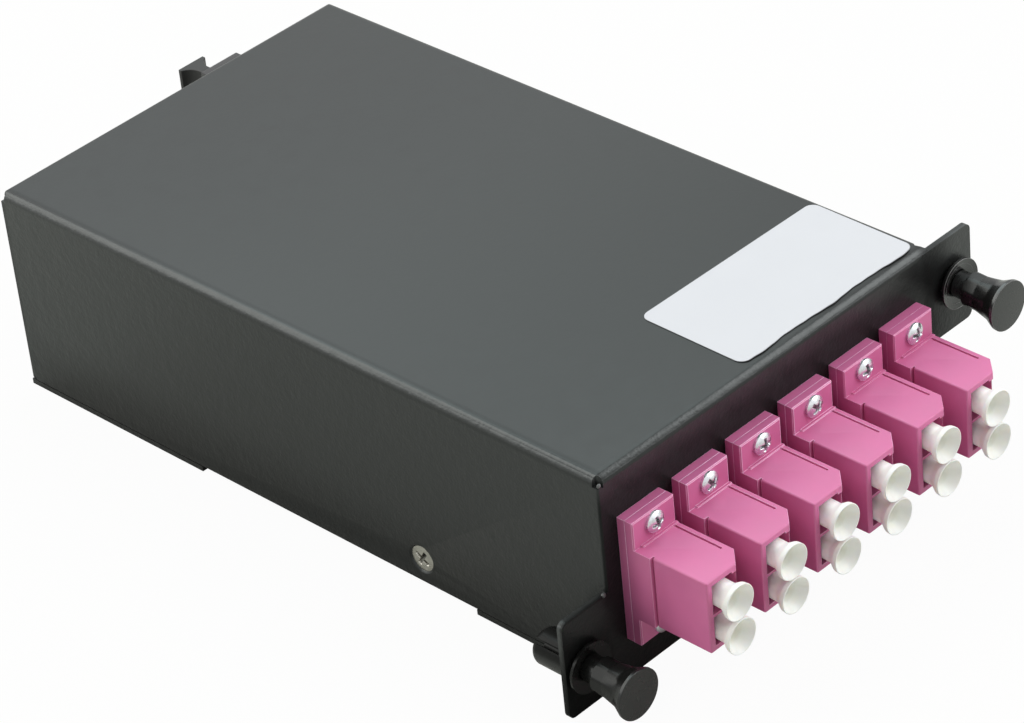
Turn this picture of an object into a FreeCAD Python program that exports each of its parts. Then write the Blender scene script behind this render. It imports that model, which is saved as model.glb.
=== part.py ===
import FreeCAD, Part
import math
import os
import re

import Sketcher

# Fibre cassette: a folded steel module with six duplex LC adapters on its
# front panel, one MPO adapter on its back wall and two push-pull plungers.
#
# Frame: +Z is up, the front panel faces -Y, and the origin is the centre of the
# bottom cover's underside. All lengths are millimetres.

# ---------------------------------------------------------------- driving sizes

SIZES = [
    # folded steel housing
    ("body_width", 76.6), ("body_depth", 134.0), ("body_height", 38.6),
    ("sheet", 1.0), ("fold_radius", 1.6), ("sheet_gap", 0.15),
    ("relief_radius", 0.9), ("relief_inset", 0.3), ("slit_width", 0.12), ("flap_inset", 0.25),
    # ears of the front panel
    ("ear_width", 10.1), ("left_ear_top", 17.9), ("right_ear_height", 17.5),
    ("right_ear_drop", 1.0), ("ear_corner", 1.2),
    # bottom cover
    ("cover_sheet", 1.0), ("flange_front", 29.0), ("flange_length", 62.5),
    ("flange_height", 10.0), ("flange_corner", 2.0), ("flange_hole_radius", 1.5),
    ("rear_lip_width", 30.0), ("rear_lip_height", 7.0),
    # countersunk side screws
    ("side_screw_y", 40.4), ("side_screw_z", 5.5), ("side_screw_radius", 1.25),
    ("side_head_radius", 2.3), ("side_sink_radius", 2.65), ("side_hole_radius", 1.7),
    ("side_screw_length", 5.0), ("side_head_sunk", 0.15), ("side_head_rim", 0.15),
    ("side_screw_tip", 0.4),
    # label
    ("label_width", 40.2), ("label_depth", 21.0), ("label_thickness", 0.15),
    ("label_corner", 1.6), ("label_right_gap", 1.5), ("label_front_gap", 1.9),
    # adapter row
    ("adapter_count", 6), ("adapter_pitch", 12.1), ("adapter_shift", -0.15),
    ("adapter_height", 18.55),
    # one LC adapter, front half
    ("adapter_flange_width", 9.3), ("adapter_flange_height", 22.7),
    ("adapter_flange_layer", 1.55), ("adapter_body_width", 9.3),
    ("adapter_body_height", 12.9), ("adapter_body_length", 13.8),
    ("adapter_shoulder", 3.05), ("adapter_waist_step", 0.4), ("adapter_groove", 0.35),
    ("adapter_ledge_depth", 0.5), ("adapter_ledge_height", 0.2), ("adapter_ledge_start", 1.5),
    ("adapter_nose_cut", 2.5), ("adapter_slot_inset", 0.75), ("adapter_slot_width", 0.4),
    ("adapter_slot_depth", 0.5), ("adapter_slot_length", 9.8), ("adapter_hole_radius", 1.15),
    ("adapter_hole_spacing", 18.6), ("adapter_edge", 0.2), ("adapter_round", 0.3),
    # ports, the same in both halves
    ("port_pitch", 6.25), ("port_size", 4.7), ("port_width", 4.5), ("port_shift", -1.0),
    ("port_web", 0.45),
    ("latch_depth", 2.3), ("latch_width", 3.9), ("port_depth", 12.2),
    ("holder_radius", 1.4), ("holder_length", 2.1),
    # LC adapter, rear half, and the clearance of the window it passes through
    ("adapter_rear_width", 8.4), ("adapter_rear_length", 10.6), ("rear_port_depth", 9.2),
    ("window_clearance", 0.2),
    # ferrule sleeves
    ("sleeve_radius", 0.8), ("sleeve_bore_radius", 0.62), ("sleeve_length", 6.6),
    ("sleeve_slit", 0.25), ("sleeve_clearance", 0.05),
    # pan-head machine screws and nuts of the adapters
    ("screw_radius", 0.95), ("screw_head_radius", 1.85), ("screw_head_height", 1.3),
    ("screw_crown_radius", 1.1), ("screw_crown_round", 1.5), ("screw_rim_height", 0.5),
    ("screw_length", 7.2), ("screw_tip", 0.4), ("cross_width", 0.5), ("cross_span", 2.1),
    ("cross_depth", 0.8),
    ("nut_flats", 4.0), ("nut_height", 1.6), ("nut_clearance", 0.05),
    # dust caps of the LC ports
    ("cap_tube_radius", 2.15), ("cap_bore_radius", 1.7), ("cap_plug_length", 7.6),
    ("cap_reach", 3.4), ("cap_rim_radius", 3.05), ("cap_rim_width", 0.5),
    ("cap_mouth_radius", 2.5), ("cap_flare_length", 1.9), ("cap_flare_radius", 1.6),
    ("cap_mouth_length", 1.3), ("cap_recess", 2.8), ("cap_web", 0.6),
    # push-pull plungers
    ("plunger_spread", 88.4), ("left_plunger_z", 8.1), ("right_plunger_drop", 9.9),
    ("collar_radius", 4.3), ("collar_height", 1.3), ("collar_dish", 0.5), ("collar_rim", 0.45),
    ("barrel_radius", 3.1), ("barrel_clearance", 0.1), ("barrel_length", 8.6),
    ("barrel_bore_radius", 1.6), ("barrel_tip", 1.2), ("barrel_tip_radius", 2.25),
    ("barrel_tip_round", 1.7), ("leg_slot", 0.9),
    ("leg_slot_length", 5.6),
    ("pin_tail_radius", 1.52), ("pin_tail_length", 7.4), ("pin_neck_radius", 2.25),
    ("pin_neck_length", 2.2), ("pin_shoulder", 0.35), ("pin_waist_radius", 2.75), ("pin_waist_length", 2.6),
    ("pin_reach", 10.7), ("knob_radius", 4.27), ("knob_rim", 0.55),
    ("knob_flare_radius", 3.4),
    # MPO adapter on the back wall
    ("mpo_x", 27.0), ("mpo_body_width", 8.7), ("mpo_body_height", 12.8),
    ("mpo_outer_length", 18.8), ("mpo_inner_length", 13.5), ("mpo_port_width", 6.6),
    ("mpo_port_height", 10.4), ("mpo_port_depth", 14.0), ("mpo_inner_depth", 9.0),
    ("mpo_web_width", 3.0), ("mpo_web_height", 7.2),
    # MPO dust cap
    ("mpo_cap_clearance", 0.15), ("mpo_cap_plug", 7.0), ("mpo_cap_reach", 8.0),
    ("mpo_cap_web", 2.1), ("mpo_cap_height", 7.1), ("mpo_cap_rim_width", 5.95),
    ("mpo_cap_rim", 0.75), ("mpo_cap_flare", 3.1),
]
SIZE = dict(SIZES)

doc = FreeCAD.newDocument("fibre_cassette")
sheet = doc.addObject("Spreadsheet::Sheet", "Sizes")
for row, (alias, value) in enumerate(SIZES, start=1):
    sheet.set("A%d" % row, alias)
    sheet.set("B%d" % row, str(value))
    sheet.setAlias("B%d" % row, alias)
doc.recompute()

WORD = re.compile(r"[a-z][a-z_]*")


def bound(text):
    """The expression with each size's name pointed at its cell of the sheet."""
    return WORD.sub(lambda m: "Sizes." + m.group() if m.group() in SIZE else m.group(), str(text))


def number(text):
    """The present value of an expression in the sizes."""
    return float(sheet.evalExpression(bound(text)))


# Places that several pieces share, as expressions in the sizes.
FRONT = "-body_depth / 2"
BACK = "body_depth / 2"
SHELL_BOTTOM = "cover_sheet + sheet_gap"
FIRST_ADAPTER = "adapter_shift - adapter_pitch * (adapter_count - 1) / 2"
SEAM = "-body_depth / 2 - adapter_flange_layer"
SIDE_SCREW_Y = "-body_depth / 2 + side_screw_y"
BACK_SEAM = "body_depth / 2 + adapter_flange_layer"
THROUGH_SHEET = "sheet * 2"
INNER_FACE = "body_width / 2 - sheet - sheet_gap"
RIGHT_EAR_TOP = "body_height - right_ear_drop"
RIGHT_EAR_BOTTOM = "body_height - right_ear_drop - right_ear_height"
RIGHT_PLUNGER_Z = "body_height - right_plunger_drop"

# ------------------------------------------------------------- modelling helpers


def new_body(label, x="0", y="0", z="0"):
    """A PartDesign body that stands at a place given by expressions."""
    body = doc.addObject("PartDesign::Body", label)
    body.Label = label
    for axis, text in zip("xyz", (x, y, z)):
        body.setExpression(".Placement.Base." + axis, bound(text))
    return body


def origin_feature(body, role):
    """One of the body's own origin planes or axes, found by its role."""
    return next(f for f in body.Origin.OriginFeatures if f.Role == role)


def new_sketch(body, name, plane, offset="0"):
    """An empty sketch on one of the body's planes, moved along the plane's normal."""
    sketch = body.newObject("Sketcher::SketchObject", name)
    sketch.AttachmentSupport = [(origin_feature(body, plane), "")]
    sketch.MapMode = "FlatFace"
    sketch.setExpression(".AttachmentOffset.Base.z", bound(offset))
    return sketch


def pin_point(sketch, geometry, end, x, y):
    """Hold a point of the sketch at x, y, both expressions."""
    for kind, text, axis in (("DistanceX", x, -2), ("DistanceY", y, -1)):
        value = number(text)
        if text == "0":
            sketch.addConstraint(Sketcher.Constraint("PointOnObject", geometry, end, axis))
            continue
        index = sketch.addConstraint(Sketcher.Constraint(kind, -1, 1, geometry, end, value))
        sketch.setExpression("Constraints[%d]" % index, bound(text))


def outline(sketch, points):
    """Draw a closed outline. Each point is (x, y) or (x, y, radius), where a radius
    makes the side that starts there an arc: above zero it turns anticlockwise."""
    corners = [FreeCAD.Vector(number(p[0]), number(p[1]), 0) for p in points]
    first = sketch.GeometryCount
    ends = []
    for i, point in enumerate(points):
        start, stop = corners[i], corners[(i + 1) % len(corners)]
        if len(point) == 2:
            sketch.addGeometry(Part.LineSegment(start, stop))
            ends.append((1, 2))
            continue
        radius = number(point[2])
        a, b = (start, stop) if radius > 0 else (stop, start)
        chord = b - a
        rise = math.sqrt(max(radius ** 2 - (chord.Length / 2) ** 2, 0.0))
        normal = FreeCAD.Vector(-chord.y, chord.x, 0).normalize()
        centre = a + chord * 0.5 + normal * rise
        angles = [math.atan2(p.y - centre.y, p.x - centre.x) for p in (a, b)]
        circle = Part.Circle(centre, FreeCAD.Vector(0, 0, 1), abs(radius))
        index = sketch.addGeometry(Part.ArcOfCircle(circle, angles[0], angles[1]))
        held = sketch.addConstraint(Sketcher.Constraint("Radius", index, abs(radius)))
        sketch.setExpression("Constraints[%d]" % held, bound("abs(%s)" % point[2]))
        ends.append((1, 2) if radius > 0 else (2, 1))
    for i in range(len(points)):
        j = (i + 1) % len(points)
        sketch.addConstraint(Sketcher.Constraint(
            "Coincident", first + i, ends[i][1], first + j, ends[j][0]))
        pin_point(sketch, first + i, ends[i][0], points[i][0], points[i][1])
    return sketch


def rectangle(sketch, left, right, low, high):
    """A closed rectangle between four expressions."""
    return outline(sketch, [(left, low), (right, low), (right, high), (left, high)])


def circle(sketch, x, y, radius):
    """A circle at x, y, all expressions."""
    centre = FreeCAD.Vector(number(x), number(y), 0)
    index = sketch.addGeometry(Part.Circle(centre, FreeCAD.Vector(0, 0, 1), number(radius)))
    pin_point(sketch, index, 3, x, y)
    held = sketch.addConstraint(Sketcher.Constraint("Radius", index, number(radius)))
    sketch.setExpression("Constraints[%d]" % held, bound(radius))
    return sketch


def prism(body, kind, sketch, length, backward=False, centred=False):
    """A Pad or Pocket of the sketch with its length bound to an expression."""
    feature = body.newObject("PartDesign::" + kind, sketch.Name + "_" + kind)
    feature.Profile = sketch
    feature.Reversed = backward
    feature.Midplane = centred
    feature.setExpression("Length", bound(length))
    doc.recompute()
    return feature


def turned(body, sketch, kind="Revolution"):
    """A solid, or a groove, of the sketch turned about its own vertical axis."""
    feature = body.newObject("PartDesign::" + kind, sketch.Name + "_" + kind)
    feature.Profile = sketch
    feature.ReferenceAxis = (sketch, ["V_Axis"])
    feature.Angle = 360
    doc.recompute()
    return feature


def row_of(body, features, axis, span, count):
    """Repeat features along one of the body's axes over a span."""
    pattern = body.newObject("PartDesign::LinearPattern", features[0].Name + "_row")
    pattern.Originals = features
    pattern.Direction = (origin_feature(body, axis), [""])
    pattern.setExpression("Length", bound(span))
    pattern.setExpression("Occurrences", bound(count))
    body.Tip = pattern
    doc.recompute()
    return pattern


def rounded(body, radius, chosen, kind="Fillet", name="edges"):
    """A Fillet or Chamfer of every edge of the body that the test picks."""
    base = body.Tip
    picked = ["Edge%d" % n for n, edge in enumerate(base.Shape.Edges, start=1) if chosen(edge)]
    feature = body.newObject("PartDesign::" + kind, body.Name + "_" + name)
    feature.Base = (base, picked)
    feature.setExpression("Radius" if kind == "Fillet" else "Size", bound(radius))
    doc.recompute()
    return feature


def near(value, target, slack=1e-4):
    return abs(value - target) < slack


def along(edge, axis):
    """True where a straight edge runs along an axis, 0 for X, 1 for Y and 2 for Z."""
    if edge.Curve.TypeId != "Part::GeomLine":
        return False
    return near(abs(edge.tangentAt(edge.FirstParameter)[axis]), 1.0)


def centre_of(edge):
    return edge.BoundBox.Center


# ------------------------------------------------------------------------ pieces


def housing():
    """Top, walls and front panel with its ears, folded from one sheet."""
    body = new_body("housing")
    half_x, half_y = "body_width / 2", "body_depth / 2"

    block = new_sketch(body, "housing_block", "XY_Plane", SHELL_BOTTOM)
    rectangle(block, "-body_width / 2", half_x, FRONT, half_y)
    prism(body, "Pad", block, "body_height - (%s)" % SHELL_BOTTOM)
    top = number("body_height")
    rounded(body, "fold_radius", name="outer_folds",
            chosen=lambda e: not along(e, 2) and near(centre_of(e).z, top))

    inside = new_sketch(body, "housing_inside", "XY_Plane", SHELL_BOTTOM)
    rectangle(inside, "-body_width / 2 + sheet", "body_width / 2 - sheet",
              "-body_depth / 2 + sheet", "body_depth / 2 - sheet")
    prism(body, "Pocket", inside, "body_height - (%s) - sheet" % SHELL_BOTTOM, backward=True)
    ceiling = number("body_height - sheet")
    rounded(body, "fold_radius - sheet", name="inner_folds",
            chosen=lambda e: not along(e, 2) and near(centre_of(e).z, ceiling))

    panel = new_sketch(body, "front_panel", "XZ_Plane", half_y)
    outline(panel, [
        ("-body_width / 2 - ear_width", "0"), (half_x, "0"),
        (half_x, RIGHT_EAR_BOTTOM), ("body_width / 2 + ear_width", RIGHT_EAR_BOTTOM),
        ("body_width / 2 + ear_width", RIGHT_EAR_TOP),
        ("body_width / 2 - fold_radius", RIGHT_EAR_TOP),
        ("body_width / 2 - fold_radius", "left_ear_top"),
        ("-body_width / 2 - ear_width", "left_ear_top")])
    prism(body, "Pad", panel, "sheet", backward=True)
    ear_edge = number("body_width / 2 + ear_width")
    rounded(body, "ear_corner", name="ear_corners",
            chosen=lambda e: along(e, 1) and near(abs(centre_of(e).x), ear_edge))

    # The walls are separate flaps: a slit at each upright corner, a hole where the folds meet.
    # Clear of the ears, the front and back flaps end a little short of the side walls' faces.
    slits = new_sketch(body, "corner_slits", "XY_Plane", "0")
    for sx in ("-", ""):
        outer, inner = sx + "(body_width / 2 + sheet)", sx + "(body_width / 2 - sheet)"
        left, right = (outer, inner) if sx else (inner, outer)
        rectangle(slits, left, right, "-body_depth / 2 + sheet",
                  "-body_depth / 2 + sheet + slit_width")
        rectangle(slits, left, right, "body_depth / 2 - sheet - slit_width",
                  "body_depth / 2 - sheet")
    prism(body, "Pocket", slits, "body_height - fold_radius", backward=True)

    short, past = "(body_width / 2 - flap_inset)", "(body_width / 2 + sheet)"
    rear_ends = new_sketch(body, "rear_flap_ends", "XY_Plane", "0")
    rectangle(rear_ends, "-" + past, "-" + short, "body_depth / 2 - sheet", BACK)
    rectangle(rear_ends, short, past, "body_depth / 2 - sheet", BACK)
    prism(body, "Pocket", rear_ends, "body_height - fold_radius", backward=True)
    front_ends = new_sketch(body, "front_flap_ends", "XZ_Plane", half_y)
    rectangle(front_ends, "-" + past, "-" + short, "left_ear_top", "body_height - fold_radius")
    rectangle(front_ends, short, past, "0", RIGHT_EAR_BOTTOM)
    prism(body, "Pocket", front_ends, "sheet")

    # behind the right ear the hole stands clear of the ear's own sheet
    reliefs = new_sketch(body, "corner_reliefs", "XY_Plane", "body_height")
    circle(reliefs, "-(body_width / 2 - relief_inset)", "-(body_depth / 2 - relief_inset)",
           "relief_radius")
    circle(reliefs, "body_width / 2 - relief_inset",
           "-(body_depth / 2 - sheet - relief_radius)", "relief_radius")
    for sx in ("-", ""):
        circle(reliefs, sx + "(body_width / 2 - relief_inset)",
               "body_depth / 2 - relief_inset", "relief_radius")
    prism(body, "Pocket", reliefs, "fold_radius + sheet / 2")

    window = new_sketch(body, "adapter_window", "XZ_Plane", half_y)
    half_w = "(adapter_rear_width / 2 + window_clearance)"
    half_h = "(adapter_body_height / 2 + window_clearance)"
    first = "(%s)" % FIRST_ADAPTER
    rectangle(window, "%s - %s" % (first, half_w), "%s + %s" % (first, half_w),
              "adapter_height - " + half_h, "adapter_height + " + half_h)
    for sign in "-+":
        circle(window, FIRST_ADAPTER, "adapter_height %s adapter_hole_spacing / 2" % sign,
               "adapter_hole_radius")
    cut = prism(body, "Pocket", window, THROUGH_SHEET)
    row_of(body, [cut], "X_Axis", "adapter_pitch * (adapter_count - 1)", "adapter_count")

    eyes = new_sketch(body, "plunger_eyes", "XZ_Plane", half_y)
    circle(eyes, "-plunger_spread / 2", "left_plunger_z", "barrel_radius + barrel_clearance")
    circle(eyes, "plunger_spread / 2", RIGHT_PLUNGER_Z, "barrel_radius + barrel_clearance")
    prism(body, "Pocket", eyes, THROUGH_SHEET)

    rear = new_sketch(body, "mpo_window", "XZ_Plane", "-body_depth / 2")
    half_w = "(mpo_body_width / 2 + window_clearance)"
    half_h = "(mpo_body_height / 2 + window_clearance)"
    rectangle(rear, "mpo_x - " + half_w, "mpo_x + " + half_w,
              "adapter_height - " + half_h, "adapter_height + " + half_h)
    for sign in "-+":
        circle(rear, "mpo_x", "adapter_height %s adapter_hole_spacing / 2" % sign,
               "adapter_hole_radius")
    prism(body, "Pocket", rear, THROUGH_SHEET, backward=True)

    holes = new_sketch(body, "side_holes", "YZ_Plane", "0")
    circle(holes, SIDE_SCREW_Y, "side_screw_z", "side_hole_radius")
    prism(body, "Pocket", holes, "body_width + sheet", centred=True)
    wall = number(half_x)
    rounded(body, "side_sink_radius - side_hole_radius", kind="Chamfer", name="countersinks",
            chosen=lambda e: e.Curve.TypeId == "Part::GeomCircle"
            and near(abs(centre_of(e).x), wall) and near(e.Curve.Radius, number("side_hole_radius")))
    return body


def bottom_cover():
    """Flat plate whose side flanges stand inside the walls and take the screws."""
    body = new_body("bottom_cover")
    low = "(-body_depth / 2 + flange_front)"
    high = "(-body_depth / 2 + flange_front + flange_length)"
    front = "-body_depth / 2 + sheet + sheet_gap"
    right, inset = "body_width / 2", INNER_FACE
    left, left_inset = "-body_width / 2", "-(%s)" % INNER_FACE

    plate = new_sketch(body, "cover_plate", "XY_Plane")
    outline(plate, [
        (left, front), (right, front), (right, low), (inset, low), (inset, high),
        (right, high), (right, BACK), (left, BACK), (left, high), (left_inset, high),
        (left_inset, low), (left, low)])
    prism(body, "Pad", plate, "cover_sheet")

    flanges = new_sketch(body, "side_flanges", "XY_Plane")
    inner = "(%s - cover_sheet)" % INNER_FACE
    rectangle(flanges, inner, inset, low, high)
    rectangle(flanges, left_inset, "-" + inner, low, high)
    prism(body, "Pad", flanges, "flange_height")

    lip = new_sketch(body, "rear_lip", "XY_Plane")
    lip_face = "body_depth / 2 - sheet - sheet_gap"
    rectangle(lip, "-rear_lip_width / 2", "rear_lip_width / 2", lip_face + " - cover_sheet", lip_face)
    prism(body, "Pad", lip, "rear_lip_height")

    face, tips = number(INNER_FACE), number("flange_height")
    rounded(body, "cover_sheet", name="bends", chosen=lambda e: along(e, 1)
            and near(abs(centre_of(e).x), face) and near(centre_of(e).z, 0))
    rounded(body, "flange_corner", name="flange_tips", chosen=lambda e: along(e, 0)
            and near(centre_of(e).z, tips))

    holes = new_sketch(body, "flange_holes", "YZ_Plane")
    circle(holes, SIDE_SCREW_Y, "side_screw_z", "flange_hole_radius")
    prism(body, "Pocket", holes, "body_width", centred=True)
    return body


def label():
    """Bare printed label stuck on top, with rounded corners."""
    body = new_body("label", "body_width / 2 - label_right_gap - label_width / 2",
                    "-body_depth / 2 + label_front_gap + label_depth / 2", "body_height")
    face = new_sketch(body, "label_face", "XY_Plane")
    rectangle(face, "-label_width / 2", "label_width / 2", "-label_depth / 2", "label_depth / 2")
    prism(body, "Pad", face, "label_thickness")
    rounded(body, "label_corner", name="corners", chosen=lambda e: along(e, 2))
    return body


def port_cuts(body, prefix, start, depth, backward):
    """The two LC ports of an adapter half: bays with a thin web between them and a latch
    recess beside each, cut round the post that holds the sleeve, and the sleeve's bore."""
    bays = new_sketch(body, prefix + "_bays", "XZ_Plane", start)
    near_side, far_side = "port_shift - port_width / 2", "port_shift + port_width / 2"
    latch = far_side + " + latch_depth"
    for sign in ("-", ""):
        web, wall = sign + "port_web / 2", sign + "(port_pitch + port_size) / 2"
        low, high = (wall, web) if sign else (web, wall)
        middle = sign + "port_pitch / 2"
        outline(bays, [
            (near_side, low), (far_side, low), (far_side, middle + " - latch_width / 2"),
            (latch, middle + " - latch_width / 2"), (latch, middle + " + latch_width / 2"),
            (far_side, middle + " + latch_width / 2"), (far_side, high), (near_side, high)])
    prism(body, "Pocket", bays, depth, backward=backward)
    posts = new_sketch(body, prefix + "_posts", "XZ_Plane")
    holes = new_sketch(body, prefix + "_holes", "XZ_Plane")
    for sign in ("-", ""):
        circle(posts, "port_shift", sign + "port_pitch / 2", "holder_radius")
        circle(holes, "port_shift", sign + "port_pitch / 2", "sleeve_radius + sleeve_clearance")
    prism(body, "Pad", posts, "adapter_flange_layer + holder_length", backward=backward)
    prism(body, "Pocket", holes, "adapter_flange_layer + holder_length", backward=not backward)


def adapter_front(index):
    """Outer half of one LC duplex adapter: flange, shoulder, waist and cut nose."""
    name = "adapter_front_%d" % index
    body = new_body(name, "%s + adapter_pitch * %d" % (FIRST_ADAPTER, index - 1),
                    SEAM, "adapter_height")
    flange = new_sketch(body, name + "_flange", "XZ_Plane")
    rectangle(flange, "-adapter_flange_width / 2", "adapter_flange_width / 2",
              "-adapter_flange_height / 2", "adapter_flange_height / 2")
    for sign in ("-", ""):
        circle(flange, "0", sign + "adapter_hole_spacing / 2", "adapter_hole_radius")
    prism(body, "Pad", flange, "adapter_flange_layer")
    front = -number("adapter_flange_layer")
    rounded(body, "adapter_edge", kind="Chamfer", name="flange_edges",
            chosen=lambda e: near(centre_of(e).y, front) and e.Curve.TypeId == "Part::GeomLine")

    # plan of the body: shoulder, groove, waist, and the nose cut on the latch side
    plan = new_sketch(body, name + "_plan", "XY_Plane", "-adapter_body_height / 2")
    left, right = "-adapter_body_width / 2", "adapter_body_width / 2"
    waist = "-adapter_body_width / 2 + adapter_waist_step"
    nose = "-(adapter_flange_layer + adapter_body_length)"
    shoulder = "-(adapter_flange_layer + adapter_shoulder)"
    outline(plan, [
        (left, "0"), (left, shoulder), (waist + " + adapter_waist_step", shoulder),
        (waist + " + adapter_waist_step", shoulder + " - adapter_groove"),
        (waist, shoulder + " - adapter_groove"), (waist, nose),
        (right + " - adapter_nose_cut", nose), (right, nose + " + adapter_nose_cut"),
        (right, "0")])
    prism(body, "Pad", plan, "adapter_body_height")

    rounded(body, "adapter_round", name="body_edges", chosen=body_edge)

    # a low ledge along the flange's root, and the slot that runs forward from it
    ledge = new_sketch(body, name + "_ledge", "XY_Plane", "adapter_body_height / 2")
    step = "-(adapter_flange_layer + adapter_ledge_depth)"
    rectangle(ledge, left + " + adapter_ledge_start", right, step, "-adapter_flange_layer")
    prism(body, "Pad", ledge, "adapter_ledge_height")
    slot = new_sketch(body, name + "_slot", "XY_Plane", "adapter_body_height / 2")
    rectangle(slot, right + " - adapter_slot_inset - adapter_slot_width",
              right + " - adapter_slot_inset",
              "-(adapter_flange_layer + adapter_slot_length)", step)
    prism(body, "Pocket", slot, "adapter_slot_depth")
    port_cuts(body, name, "adapter_flange_layer + adapter_body_length", "port_depth", False)
    return body


def body_edge(edge):
    """Outer edges of an adapter body: those round its nose and along its plain side."""
    half_width, half_height = number("adapter_body_width / 2"), number("adapter_body_height / 2")
    nose = -number("adapter_flange_layer + adapter_body_length")
    middle = centre_of(edge)
    on_nose = near(middle.y, nose) and along(edge, 0)
    side_of_waist = near(middle.x, -half_width + number("adapter_waist_step"))
    return (on_nose and near(abs(middle.z), half_height)) or (
        side_of_waist and (along(edge, 1) or (along(edge, 2) and near(middle.y, nose))))


def adapter_rear(index):
    """Inner half of one LC duplex adapter: its flange layer and the part that
    passes through the window of the panel."""
    name = "adapter_rear_%d" % index
    body = new_body(name, "%s + adapter_pitch * %d" % (FIRST_ADAPTER, index - 1),
                    SEAM, "adapter_height")
    flange = new_sketch(body, name + "_flange", "XZ_Plane")
    rectangle(flange, "-adapter_flange_width / 2", "adapter_flange_width / 2",
              "-adapter_flange_height / 2", "adapter_flange_height / 2")
    for sign in ("-", ""):
        circle(flange, "0", sign + "adapter_hole_spacing / 2", "adapter_hole_radius")
    prism(body, "Pad", flange, "adapter_flange_layer", backward=True)
    block = new_sketch(body, name + "_block", "XZ_Plane")
    rectangle(block, "-adapter_rear_width / 2", "adapter_rear_width / 2",
              "-adapter_body_height / 2", "adapter_body_height / 2")
    prism(body, "Pad", block, "adapter_flange_layer + adapter_rear_length", backward=True)
    port_cuts(body, name, "-(adapter_flange_layer + adapter_rear_length)", "rear_port_depth", True)
    return body


def sleeve(index, side):
    """Split ceramic sleeve that lines up the two ferrules of one port."""
    name = "sleeve_%d_%s" % (index, side)
    sign = "+" if side == "upper" else "-"
    body = new_body(name, "%s + adapter_pitch * %d + port_shift" % (FIRST_ADAPTER, index - 1),
                    SEAM, "adapter_height %s port_pitch / 2" % sign)
    ring = new_sketch(body, name + "_ring", "XZ_Plane")
    circle(ring, "0", "0", "sleeve_radius")
    circle(ring, "0", "0", "sleeve_bore_radius")
    prism(body, "Pad", ring, "sleeve_length", centred=True)
    slit = new_sketch(body, name + "_slit", "XZ_Plane")
    rectangle(slit, "0", "sleeve_radius * 2", "-sleeve_slit / 2", "sleeve_slit / 2")
    prism(body, "Pocket", slit, "sleeve_length + sleeve_slit", centred=True)
    return body


def dust_cap(index, side):
    """Push-in cap of one LC port: a tube closed by a web, flared to a round rim."""
    name = "dust_cap_%d_%s" % (index, side)
    sign = "+" if side == "upper" else "-"
    body = new_body(name, "%s + adapter_pitch * %d + port_shift" % (FIRST_ADAPTER, index - 1),
                    "-body_depth / 2 - adapter_flange_layer * 2 - adapter_body_length",
                    "adapter_height %s port_pitch / 2" % sign)
    half = new_sketch(body, name + "_profile", "XY_Plane")
    web = "-cap_reach + cap_recess"
    outline(half, [
        ("0", web), ("cap_bore_radius", web),
        ("cap_bore_radius", "-cap_reach + cap_mouth_length"), ("cap_mouth_radius", "-cap_reach"),
        ("cap_rim_radius", "-cap_reach"),
        ("cap_rim_radius", "-cap_reach + cap_rim_width", "-cap_flare_radius"),
        ("cap_tube_radius", "-cap_reach + cap_flare_length"),
        ("cap_tube_radius", "cap_plug_length"), ("cap_bore_radius", "cap_plug_length"),
        ("cap_bore_radius", web + " + cap_web"), ("0", web + " + cap_web")])
    turned(body, half)
    return body


def cross_recess(body, top):
    """The cross driven into a screw's head, which faces -Y."""
    cross = new_sketch(body, body.Name + "_cross", "XZ_Plane", top)
    arm, half = "cross_span / 2", "cross_width / 2"
    outline(cross, [
        ("-" + arm, "-" + half), ("-" + half, "-" + half), ("-" + half, "-" + arm),
        (half, "-" + arm), (half, "-" + half), (arm, "-" + half), (arm, half), (half, half),
        (half, arm), ("-" + half, arm), ("-" + half, half), ("-" + arm, half)])
    return prism(body, "Pocket", cross, "cross_depth")


def grid(body, features, columns, pitch, rows, spacing):
    """Repeat a fastener in a row along X and a row along Z, as separate solids."""
    body.AllowCompound = True
    steps = []
    for axis, count, span in (("X_Axis", columns, "%s * (%s - 1)" % (pitch, columns)),
                              ("Z_Axis", rows, "%s * (%s - 1)" % (spacing, rows))):
        if number(count) < 2:
            continue
        step = body.newObject("PartDesign::LinearPattern", "%s_along_%s" % (body.Name, axis[0]))
        step.Direction = (origin_feature(body, axis), [""])
        step.setExpression("Length", bound(span))
        step.setExpression("Occurrences", bound(count))
        steps.append(step)
    many = body.newObject("PartDesign::MultiTransform", body.Name + "_grid")
    many.Originals = features
    many.Transformations = steps
    body.Tip = many
    doc.recompute()
    return many


def pan_screws(label, x, y, columns, pitch, forward):
    """Pan-head screws through an adapter's flange, two to an adapter."""
    body = new_body(label, x, y, "adapter_height - adapter_hole_spacing / 2")
    if not forward:
        body.Placement.Rotation = FreeCAD.Rotation(FreeCAD.Vector(0, 0, 1), 180)
    half = new_sketch(body, label + "_profile", "XY_Plane")
    outline(half, [
        ("0", "-screw_head_height"),
        ("screw_crown_radius", "-screw_head_height", "screw_crown_round"),
        ("screw_head_radius", "-screw_rim_height"), ("screw_head_radius", "0"),
        ("screw_radius", "0"), ("screw_radius", "screw_length - screw_tip"),
        ("screw_radius - screw_tip", "screw_length"), ("0", "screw_length")])
    shape = turned(body, half)
    cut = cross_recess(body, "screw_head_height")
    grid(body, [shape, cut], columns, pitch, "2", "adapter_hole_spacing")
    return body


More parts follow.
